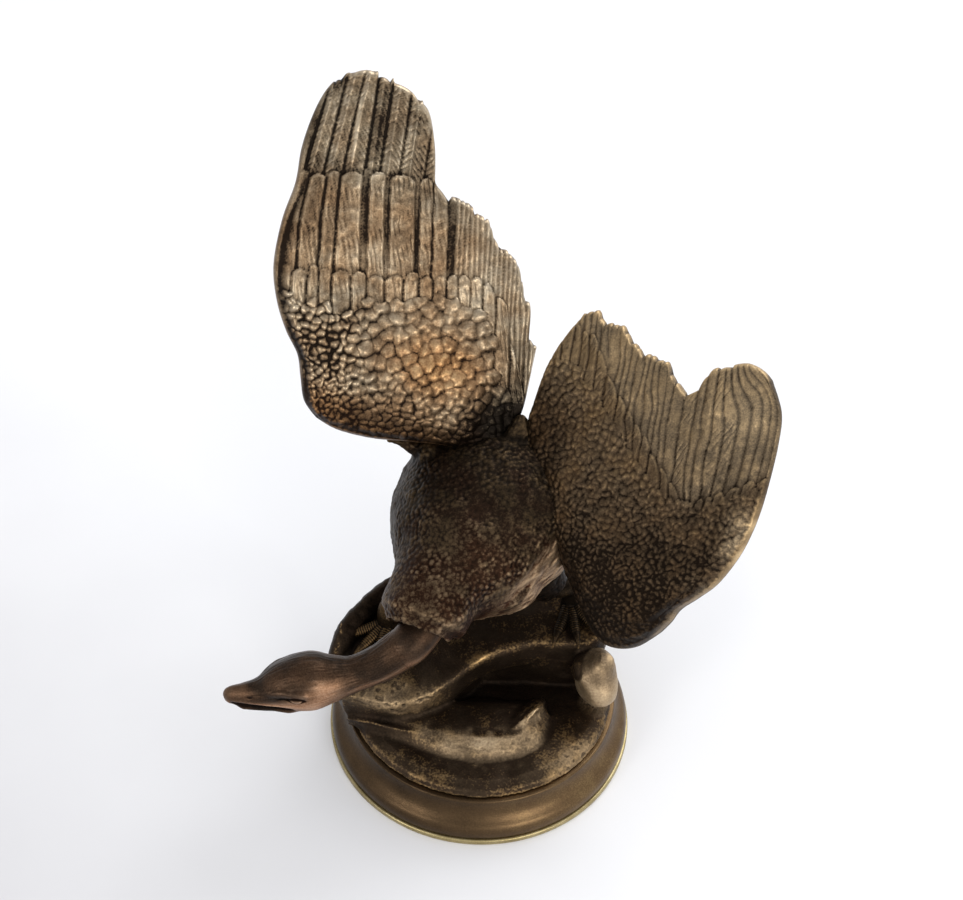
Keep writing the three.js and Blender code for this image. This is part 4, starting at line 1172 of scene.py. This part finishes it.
def head_tone(share, side, radius, hollow_darkening):
    """Pale cheek with a painted highlight, pale lips and jaw, a painted reflection along the lower side of
    the neck, and dark creases.
    """
    cheek = 0.75 * spot(share, side, *TEMPLE_HIGHLIGHT) + spot(share, side, *PALE_CHEEK)
    lip = 0.7 * spot(np.radians(side - eased(GAPE)(share) + LIP_ABOVE_GAPE) * radius, share, *PALE_LIP)
    jaw = 0.9 * spot(share, side, *PALE_JAW)
    lids = 0.1 * spot(share, side, *PALE_LIDS)
    beak = 0.12 * ramp(share, 0.87, 0.92)
    # A painted reflection along the lower side of the neck
    neck = 0.5 * mound(side - 100, 12) * fall(share, 0.45, 0.6)
    tone = 0.04 + 0.9 * (cheek + lip + jaw + lids) + beak + neck
    return np.clip(tone, 0, 1) * np.clip(1 - hollow_darkening, 0, 1)


def skin_folds(share, angle):
    """Fine folds of the bare skin, between the ruff and the beak."""
    around = np.broadcast_arrays(share * 14, np.cos(angle) * 9, np.sin(angle) * 9)
    flat = np.stack(around, axis=-1).reshape(-1, 3)
    folds = 0.06 * noise(flat, 1.0, SEED + 21) + 0.05 * noise(flat, 0.45, SEED + 22)
    return folds.reshape(around[0].shape) * stretch(share, 0.2, 0.3, 0.84, 0.9)


def head_skin():
    """Bare neck and head, how pale each point is, and how much it is darkened."""
    rings, angle = limb_rings(raised(NECK), HEAD_RINGS, HEAD_SIDES)
    share = np.linspace(0, 1, HEAD_RINGS)[:, None]
    centre = rings.mean(axis=1, keepdims=True)
    spokes = rings - centre
    radius = np.linalg.norm(spokes, axis=-1)
    side = off_crown(angle)[None, :]
    relief, hollow_darkening = head_relief(share, side, radius)
    relief = relief + skin_folds(share, angle)
    tone = head_tone(share, side, radius, hollow_darkening)
    points, faces = loft(centre + spokes * (1 + relief / np.maximum(radius, 0.6))[..., None])
    ends = [0, -1], [0, 0]
    return points, faces, np.append(tone, tone[ends]), np.append(hollow_darkening, hollow_darkening[ends])


def tail_skin():
    """Tail fan with long feathers above and below."""
    rings, angle = limb_rings(raised(TAIL), TAIL_RINGS, TAIL_SIDES)
    spread = np.cos(angle)[None, :]
    along = np.linspace(0, 1, TAIL_RINGS)[:, None]
    half = TAIL_FEATHERS / 2
    _, place, _ = lanes(spread * half, np.arange(-half, half + 1))
    relief = -TAIL_GROOVE * np.abs(place) ** 3 * ramp(along, 0.1, 0.4)
    upright = np.sign(np.sin(angle))[None, :] * relief
    rings = rings + upright[..., None] * np.array(TAIL_UP)
    short = 2.5 * place ** 2 * ramp(along, 0.85, 1)
    rings = rings - short[..., None] * unit(np.array(TAIL[-1][:3]) - TAIL[-2][:3])
    return loft(rings)


def slab_top(x, y):
    return SLAB_LEVEL + SLAB_SLOPE[0] * x + SLAB_SLOPE[1] * y


def toe_skin(foot, degrees):
    """One toe with cross scutes and a claw."""
    angle = math.radians(degrees)
    stations = []
    for distance, height, radius in TOE:
        x, y = foot[0] + distance * math.cos(angle), foot[1] + distance * math.sin(angle)
        stations.append((x, y, slab_top(x, y) + height, radius, radius))
    rings, _ = limb_rings(stations, TOE_RINGS, sides=36)
    centre = rings.mean(axis=1, keepdims=True)
    length = np.linspace(0, TOE[-1][0], TOE_RINGS)
    scutes = np.abs(np.sin(np.pi * length / SCUTE_LENGTH)) * fall(length, 7.6, 8.6) - 0.5
    return loft(centre + (rings - centre) * (1 + 2 * SCUTE_DEPTH * scutes)[:, None, None])


def foot_skin(leg):
    """Shank and toes as one skin."""
    x, y = leg["foot"]
    ground = slab_top(x, y)
    places = [(x, y, ground - SEAM), (x, y, ground + SHANK_FOOT), *raised([leg["hock"], leg["knee"]])]
    stations = [(*place, SHANK_RADIUS, SHANK_RADIUS) for place in places]
    shank = limb(stations, sides=32, top=LEVEL_TOP)
    toes = [toe_skin(leg["foot"], degrees) for degrees in leg["toe_angles"]]
    points, quads = fused([shank, *toes], FOOT_VOXEL)
    return smoothed(points, links([quads]), rounds=2), [quads]


# Rock, plinth and base plate

def cylinder(x, y, bottom, top, radius):
    stations = [(x, y, height, radius, radius) for height in (bottom, top)]
    return limb(stations, rings=2, sides=32, top=LEVEL_TOP)


def ellipsoid(centre, radii):
    """An egg-shaped skin, as rings from pole to pole."""
    turn = np.linspace(0, 2 * np.pi, EGG_SIDES, endpoint=False)
    tilt = np.linspace(EGG_POLE, np.pi - EGG_POLE, EGG_RINGS)[:, None]
    ball = np.broadcast_arrays(np.sin(tilt) * np.cos(turn), np.sin(tilt) * np.sin(turn), np.cos(tilt))
    return loft(np.array(centre) + np.stack(ball, axis=-1) * np.array(radii))


def inside(points, ball, grow):
    """1 well inside an egg shape grown by the given length, 0 outside it."""
    centre, radii = ball
    return ramp(1 - np.linalg.norm((points - centre) / (np.array(radii) + grow), axis=1), 0, 0.12)


def rock_parts():
    """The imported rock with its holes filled, and more boulder, ledge and ground."""
    parts = [
        node_skin("rock_terrace"), cylinder(0, 0, RIM_LEVEL - 2.9, RIM_LEVEL + 3, ROCK_REGISTER),
        limb(ROCK_BACK, sides=24), limb(BOULDER_EDGE, rings=60, sides=24),
        limb(BOULDER_LIP, rings=80, sides=24), limb(BOULDER_FRONT, rings=80, sides=24),
    ]
    parts += [ellipsoid(*egg) for egg in (*GROUND_MOUNDS, KNOB_SHOULDER, BOULDER_TOP)]
    for stud in ("right_foot_stud", "left_foot_stud"):
        low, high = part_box(stud)
        x, y = (low.x + high.x) / 2 / MM, (low.y + high.y) / 2 / MM
        parts.append(cylinder(x, y, RIM_LEVEL, slab_top(x, y) - 0.4, STUD_FILL))
    return parts


def clay_knob(points, quads):
    """Smooths the knob and draws its foot in; gives the points, and their share in the knob."""
    knob = inside(points, KNOB, 0.8)
    points = points + knob[:, None] * (smoothed(points, links([quads]), rounds=24) - points)
    x, y, z = points.T
    taper = knob * ramp(-z, -KNOB_TAPER[0], -KNOB_TAPER[1])
    x += taper * (0.7 - 0.16 * (x - KNOB[0][0]))
    y += taper * 0.42 * (KNOB[0][1] + 4 - y)
    return points, knob


def rock_patches(points, out):
    """Shares of the slab's front, the boulder's face and the ground on the right, all worn pale; the boulder
    only on faces turned to the front, which is painted light as well.
    """
    x, y, z = points.T
    front = spot(x, y, *SLAB_FRONT) * ramp(z, 18, 22)
    boulder = spot(x, y, *BOULDER_FACE) + 0.9 * spot(x, y, *BOULDER_SIDE)
    # The boulder is pale only where it faces the front: painted light as well as worn patina
    facing = ramp(0.12 * noise(points @ PIT_TURN, 1.6, SEED + 38) - out[:, 1], 0.06, 0.3)
    boulder = 1.1 * boulder * stretch(z, 11, 12.2, 20.5, 23) * facing
    ground = ramp(RIM_LEVEL + 4 - z, 0, 2) * spot(x, y, *RIGHT_GROUND)
    return front, boulder, ground


def rock_relief(points, knob, rough):
    """Heights of the lumps, the grain, the pits and the plumes at the back."""
    x, y, z = points.T
    free = ramp(z, RIM_LEVEL + 0.2, RIM_LEVEL + 1.4)
    lift = 0.4 * layered_noise(points, 7, 2, SEED + 11) - 0.25
    lift = lift + 0.07 * layered_noise(points, 1.8, 3, SEED + 12)
    plume = 0.15 * noise(points @ PLUME_GRAIN, 1.2, SEED + 14) * ramp(y, -2, 3) * ramp(-x, 18, 24)
    pits = -0.3 * rough * ramp(noise(points @ PIT_TURN, 1.1, SEED + 13), 0.08, 0.4)
    lumps = 0.9 * noise(points, 4.6, SEED + 17) * knob
    return (lift + plume) * free * (1 - 0.7 * knob) + pits * free + lumps


def rock_skin():
    """The rock modelled like clay, how pale each point is, and how dark."""
    points, quads = fused(rock_parts(), ROCK_VOXEL)
    points, knob = clay_knob(smoothed(points, links([quads]), rounds=2), quads)
    out = normals(points, [quads])
    x, y, z = points.T
    front, boulder, ground = rock_patches(points, out)
    back = ramp(y, -6, -1) * ramp(-x, 14, 20)
    # Painted shade in the crevice between the slab and the boulder
    hollow = stretch(x, -6, 0, 22, 24) * ramp(y, -11, -9) * fall(z, 20, 22)
    rough = np.clip(front + 0.6 * spot(x, y, *BOULDER_PITS) + 0.35 * boulder + ground, 0, 1)
    blotch = 0.8 + 0.5 * noise(points @ PIT_TURN, 3, SEED + 35)
    tone = 0.02 + knob * (1 - 0.35 * ramp(z, 24, 30)) + blotch * (0.8 * boulder + 0.5 * front + 0.5 * ground)
    rubbed_and_lit = np.clip(boulder + front + ground, 0, 1) + knob * fall(z, 25, 29)
    shade = 0.18 * back + 0.08 * hollow - 0.1 * rubbed_and_lit
    points = points + rock_relief(points, knob, rough)[:, None] * out
    return points, [quads], np.clip(tone, 0, 1), shade


def rock_wear(points, faces):
    """Gold only along the sharpest crests, and there in broken lengths."""
    fine, broad = wear(points, faces, rounds=3, depth=0.15), wear(points, faces, rounds=40, depth=1.6)
    waver = 0.22 * noise(points, 2.4, SEED + 36) + 0.12 * noise(points, 1, SEED + 37)
    crest = mound(normals(points, faces)[:, 2] - 0.78 - waver, 0.09) * ramp(broad, 0.58, 0.72)
    crest = crest * np.maximum(ramp(points[:, 2], 22.5, 24), ramp(-points[:, 1], 11, 13))
    return 0.16 + 0.4 * fine + 0.5 * crest + 0.22 * broad


def lathe(profile):
    """A turned skin through [radius, height] points, without repeated ones, closed on the axis."""
    angle = np.linspace(0, 2 * np.pi, LATHE_SEGMENTS, endpoint=False)
    profile = np.array(profile, float)
    moved = np.linalg.norm(np.diff(profile, axis=0), axis=1) > 1e-6
    profile = profile[np.append(True, moved)]
    rings = np.stack([
        profile[:, :1] * np.cos(angle), profile[:, :1] * np.sin(angle),
        np.repeat(profile[:, 1:], LATHE_SEGMENTS, axis=1),
    ], axis=-1)
    return loft(rings)


def arc(start, bend, end, steps=14):
    share = np.linspace(0, 1, steps)[:, None]
    start, bend, end = (np.array(point, float) for point in (start, bend, end))
    return ((1 - share) ** 2 * start + 2 * share * (1 - share) * bend + share ** 2 * end).tolist()


def plinth_skin():
    """An ogee from the rock's rim down to the plate."""
    bottom, foot, top = PLATE_THICKNESS + SEAM / 3, PLINTH_FOOT_RADIUS, PLINTH_TOP_RADIUS
    profile = [
        (REGISTER_RADIUS + SEAM, bottom), (foot - 0.5, bottom),
        *arc((foot - 0.5, bottom), (foot, bottom), (foot, bottom + 0.9), 8),
        *arc((foot, bottom + 0.9), (foot, 4.6), (foot - 1.1, 5.6)),
        *arc((foot - 1.1, 5.6), (top, 7.6), (top, RIM_LEVEL - PLINTH_FILLET)),
        *arc((top, RIM_LEVEL - 0.5), (top, RIM_LEVEL), (top - 0.5, RIM_LEVEL), 6),
        (top - 4, RIM_LEVEL),
    ]
    return lathe(profile)


def plate_skin():
    """A flat disc with a rounded lip."""
    radius, edge, top = PLATE_RADIUS, PLATE_RADIUS - LIP_ROUND, PLATE_THICKNESS
    profile = [
        (4, 0), (edge, 0), *arc((edge, 0), (radius, 0), (radius, LIP_ROUND), 6),
        *arc((radius, top - LIP_ROUND), (radius, top), (edge, top), 6),
        (REGISTER_RADIUS, top), (4, top),
    ]
    return lathe(profile)


# Materials

def socket_or_value(tree, target, value):
    if isinstance(value, bpy.types.NodeSocket):
        tree.links.new(value, target)
    else:
        target.default_value = value


def node(tree, kind, settings=None, **inputs):
    """A shader node with its settings, and its inputs by name from values or sockets."""
    made = tree.nodes.new(kind)
    for label, value in (settings or {}).items():
        setattr(made, label, value)
    for label, value in inputs.items():
        socket_or_value(tree, made.inputs[label.replace("_", " ")], value)
    return made


def value_of(tree, label):
    return node(tree, "ShaderNodeAttribute", {"attribute_name": label}).outputs["Fac"]


def grain(tree, size, detail=4.0):
    """Noise in the object's own frame, with lumps of the given size in millimetres."""
    place = node(tree, "ShaderNodeTexCoord").outputs["Object"]
    return node(tree, "ShaderNodeTexNoise", Vector=place, Scale=1 / (size * MM), Detail=detail).outputs["Fac"]


def colours(tree, factor, stops):
    made = node(tree, "ShaderNodeValToRGB", Fac=factor)
    elements = made.color_ramp.elements
    while len(elements) < len(stops):
        elements.new(1)
    for element, (place, colour) in zip(elements, stops):
        element.position = place
        element.color = (*colour, 1)
    return made.outputs["Color"]


def between(tree, factor, low, high, bottom, top):
    made = node(tree, "ShaderNodeMapRange", Value=factor)
    for label, value in (("From Min", low), ("From Max", high), ("To Min", bottom), ("To Max", top)):
        made.inputs[label].default_value = value
    return made.outputs["Result"]


def added(tree, first, second):
    made = node(tree, "ShaderNodeMath", {"operation": "ADD"})
    socket_or_value(tree, made.inputs[0], first)
    socket_or_value(tree, made.inputs[1], second)
    return made.outputs["Value"]


def mixed(tree, factor, first, second):
    made = node(tree, "ShaderNodeMix", {"data_type": "RGBA"})
    for place, value in ((0, factor), (6, first), (7, second)):
        socket_or_value(tree, made.inputs[place], value)
    return made.outputs[2]


def new_material(name):
    material = bpy.data.materials.new(name)
    material.use_nodes = True
    material.node_tree.nodes.clear()
    return material, material.node_tree


def surfaced(material, shader):
    """The material, with the shader as its surface."""
    tree = material.node_tree
    output = node(tree, "ShaderNodeOutputMaterial")
    tree.links.new(shader.outputs["BSDF"], output.inputs["Surface"])
    return material


def seen(red, green, blue):
    """A colour as seen, from 0 to 255, for a shader."""
    shares = np.array((red, green, blue)) / 255
    return tuple(np.where(shares < 0.04045, shares / 12.92, ((shares + 0.055) / 1.055) ** 2.4))


def bronze(
    name, dull, bright, roughness=(0.56, 0.4), mottle=0.12, cloudy=0.12, grain_size=0.35, grain_depth=0.1,
):
    """Patinated bronze: dark in the recesses and worn where it stands proud, in two tones; the same value
    also carries painted shade and painted highlights.
    """
    material, tree = new_material(name)
    cloud = grain(tree, PATCH_SIZE)
    speck = grain(tree, grain_size, detail=3.0)
    height = added(tree, value_of(tree, "wear"), between(tree, cloud, *NOISE_REACH, -mottle, mottle))
    height = added(tree, height, between(tree, speck, *NOISE_REACH, -0.8 * mottle, 0.8 * mottle))
    low, high = (
        colours(tree, height, [(place, seen(*colour)) for place, colour in zip(PATINA_STOPS, tones)])
        for tones in (dull, bright)
    )
    tone = added(tree, value_of(tree, "tone"), between(tree, cloud, *NOISE_REACH, cloudy, -cloudy))
    bump = node(tree, "ShaderNodeBump", Strength=BUMP_STRENGTH, Distance=grain_depth * MM, Height=speck)
    shader = node(
        tree, "ShaderNodeBsdfPrincipled", Base_Color=mixed(tree, tone, low, high), Metallic=BRONZE_METALLIC,
        Normal=bump.outputs["Normal"], Specular_IOR_Level=BRONZE_GLOSS,
        Roughness=between(tree, height, 0.2, 0.95, *roughness))
    return surfaced(material, shader)


def steel(name):
    """Plain turned steel of the hidden fixings."""
    material, tree = new_material(name)
    cloud = grain(tree, 1.5)
    colour = colours(tree, cloud, STEEL_COLOURS)
    shader = node(
        tree, "ShaderNodeBsdfPrincipled", Base_Color=colour, Metallic=1.0,
        Roughness=between(tree, cloud, *NOISE_REACH, 0.3, 0.5))
    return surfaced(material, shader)


def paper(name):
    """Pale matt ground, with painted shade that darkens it a little towards the front left."""
    material, tree = new_material(name)
    place = node(tree, "ShaderNodeTexCoord").outputs["Object"]
    side = node(tree, "ShaderNodeVectorMath", {"operation": "DOT_PRODUCT"})
    socket_or_value(tree, side.inputs[0], place)
    socket_or_value(tree, side.inputs[1], (-0.7, -0.7, 0))
    away = between(tree, side.outputs["Value"], 0.0, 0.13, 0.0, 0.75)
    away = added(tree, away, between(tree, grain(tree, 60), *NOISE_REACH, -0.05, 0.05))
    colour = colours(tree, away, PAPER_AND_SHADE_COLOURS)
    shader = node(tree, "ShaderNodeBsdfPrincipled", Base_Color=colour, Roughness=0.9)
    return surfaced(material, shader)


# Stage

def add_floor():
    mesh = bpy.data.meshes.new("floor")
    corners = [(x * FLOOR_HALF, y * FLOOR_HALF, 0) for x, y in ((-1, -1), (1, -1), (1, 1), (-1, 1))]
    mesh.from_pydata(corners, [], [(0, 1, 2, 3)])
    mesh.materials.append(paper("floor_paper"))
    floor = bpy.data.objects.new("floor", mesh)
    bpy.context.scene.collection.objects.link(floor)


def add_light(name, place, size, power, colour):
    """A soft square lamp that looks at the bird."""
    lamp = bpy.data.lights.new(name, "AREA")
    lamp.size = size
    lamp.energy = power
    lamp.color = colour
    light = bpy.data.objects.new(name, lamp)
    light.location = place
    light.rotation_euler = (Vector(LAMP_TARGET) - Vector(place)).to_track_quat("-Z", "Y").to_euler()
    bpy.context.scene.collection.objects.link(light)


def add_world():
    """Soft room light, paler towards the horizon."""
    world = bpy.data.worlds.new("room")
    world.use_nodes = True
    tree = world.node_tree
    tree.nodes.clear()
    direction = node(tree, "ShaderNodeTexCoord").outputs["Generated"]
    height = node(tree, "ShaderNodeSeparateXYZ", Vector=direction).outputs["Z"]
    colour = colours(tree, height, ROOM_COLOURS)
    background = node(tree, "ShaderNodeBackground", Color=colour, Strength=ROOM_STRENGTH)
    output = node(tree, "ShaderNodeOutputWorld")
    tree.links.new(background.outputs["Background"], output.inputs["Surface"])
    bpy.context.scene.world = world


def add_camera():
    camera = bpy.data.cameras.new("camera")
    camera.sensor_fit = "HORIZONTAL"
    camera.sensor_width = SENSOR
    camera.lens = FOCAL_PIXELS * SENSOR / IMAGE_WIDTH
    holder = bpy.data.objects.new("camera", camera)
    tilt, roll = math.radians(CAMERA_ELEVATION), math.radians(CAMERA_ROLL)
    forward = Vector((0, math.cos(tilt), -math.sin(tilt)))
    level, over = Vector((1, 0, 0)), Vector((0, math.sin(tilt), math.cos(tilt)))
    right = level * math.cos(roll) + over * math.sin(roll)
    up = over * math.cos(roll) - level * math.sin(roll)
    turn = Matrix((right, up, -forward)).transposed().to_4x4()
    holder.matrix_world = Matrix.Translation(Vector(CAMERA_PLACE) * MM) @ turn
    bpy.context.scene.collection.objects.link(holder)
    bpy.context.scene.camera = holder


# Assembly

def add_stage():
    bpy.context.scene.view_settings.view_transform = "Standard"
    add_camera()
    add_world()
    add_floor()
    for name, look in LAMPS.items():
        add_light(name, *look)


def add_wings(bronzes, rng):
    """Both wings, with a plainer patina on their undersides."""
    wings = (
        ("right_wing", RIGHT_WING, "wing_gold", right_wing_tone, right_wing_shade, right_wing_gain),
        ("left_wing", LEFT_WING, "wing_brown", left_wing_tone, left_wing_shade, even_gain),
    )
    for name, plan, patina, tone, shade, gain in wings:
        points, faces, chart, under = wing_skin(plan, rng)
        # The gain and the shade paint highlights and shade into this wing's patina value
        contrast = np.where(under, UNDERSIDE_CONTRAST, gain(chart))
        darkening = np.where(under, underside_shade(chart), shade(chart))
        add_piece(
            f"{name}_cast", points, faces, bronzes[patina], "wing_bronze", name,
            wear=0.5 + contrast * (wear(points, faces, rounds=12, depth=0.3) - 0.5) - darkening,
            tone=np.where(under, UNDERSIDE_TONE, tone(chart)))


def add_body(bronzes, rng):
    """Torso, head, tail and feet."""
    points, faces, tone, rub_light_and_shade = torso_skin(rng)
    add_piece(
        "torso_cast", points, faces, bronzes["feather_bronze"], "feather_bronze", "torso",
        wear=wear(points, faces, rounds=12, depth=0.32) + rub_light_and_shade, tone=tone)
    points, faces, tone, hollow_darkening = head_skin()
    add_piece(
        "head_cast", points, faces, bronzes["skin_bronze"], "skin_bronze", "head_and_neck",
        wear=wear(points, faces, rounds=16, depth=0.3) - 0.6 * hollow_darkening, tone=tone)
    points, faces = tail_skin()
    add_piece(
        "tail_cast", points, faces, bronzes["feather_bronze"], "feather_bronze", "tail_fan",
        wear=wear(points, faces, rounds=10, depth=0.2), tone=0.2)
    # Each foot is offset by its painted shade: the left foot is darkened, the right one lifted a little
    for name, leg in LEGS.items():
        points, faces = foot_skin(leg)
        add_piece(
            f"{name}_cast", points, faces, bronzes["foot_bronze"], "skin_bronze", name,
            wear=wear(points, faces, rounds=6, depth=0.08) - leg["painted_shade"], tone=0.1)


def add_base(bronzes):
    """Rock, plinth and base plate, the turned ones brighter towards the window with painted light."""
    points, faces, tone, shade = rock_skin()
    add_piece(
        "rock_cast", points, faces, bronzes["rock_bronze"], "rock_bronze", "rock_terrace",
        wear=rock_wear(points, faces) - shade, tone=tone)
    points, faces = plinth_skin()
    # Painted reflection: the plinth lighter towards the right, the plate towards the right and front
    rubbed_and_lit = ramp(points[:, 0], -25, 30)
    add_piece(
        "plinth_turned", points, faces, bronzes["plinth_bronze"], "plinth_bronze", "plinth",
        wear=0.36 + 0.16 * rubbed_and_lit, tone=0.15 + 0.45 * rubbed_and_lit)
    points, faces = plate_skin()
    add_piece(
        "plate_turned", points, faces, bronzes["plate_brass"], "plate_brass", "base_plate",
        wear=0.55, tone=0.1 + 0.5 * ramp(points[:, 0] - points[:, 1], -20, 40))


def dress_fixings():
    """Steel on the screws, studs, washers, nuts and pins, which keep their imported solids."""
    fixing = steel("fixing_steel")
    for name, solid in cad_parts.items():
        if any(word in name for word in FIXINGS):
            solid.data.materials.clear()
            solid.data.materials.append(fixing)


def main():
    rng = np.random.default_rng(SEED)
    add_stage()
    bronzes = {name: bronze(name, **look) for name, look in PATINAS.items()}
    add_wings(bronzes, rng)
    add_body(bronzes, rng)
    add_base(bronzes)
    dress_fixings()


main()
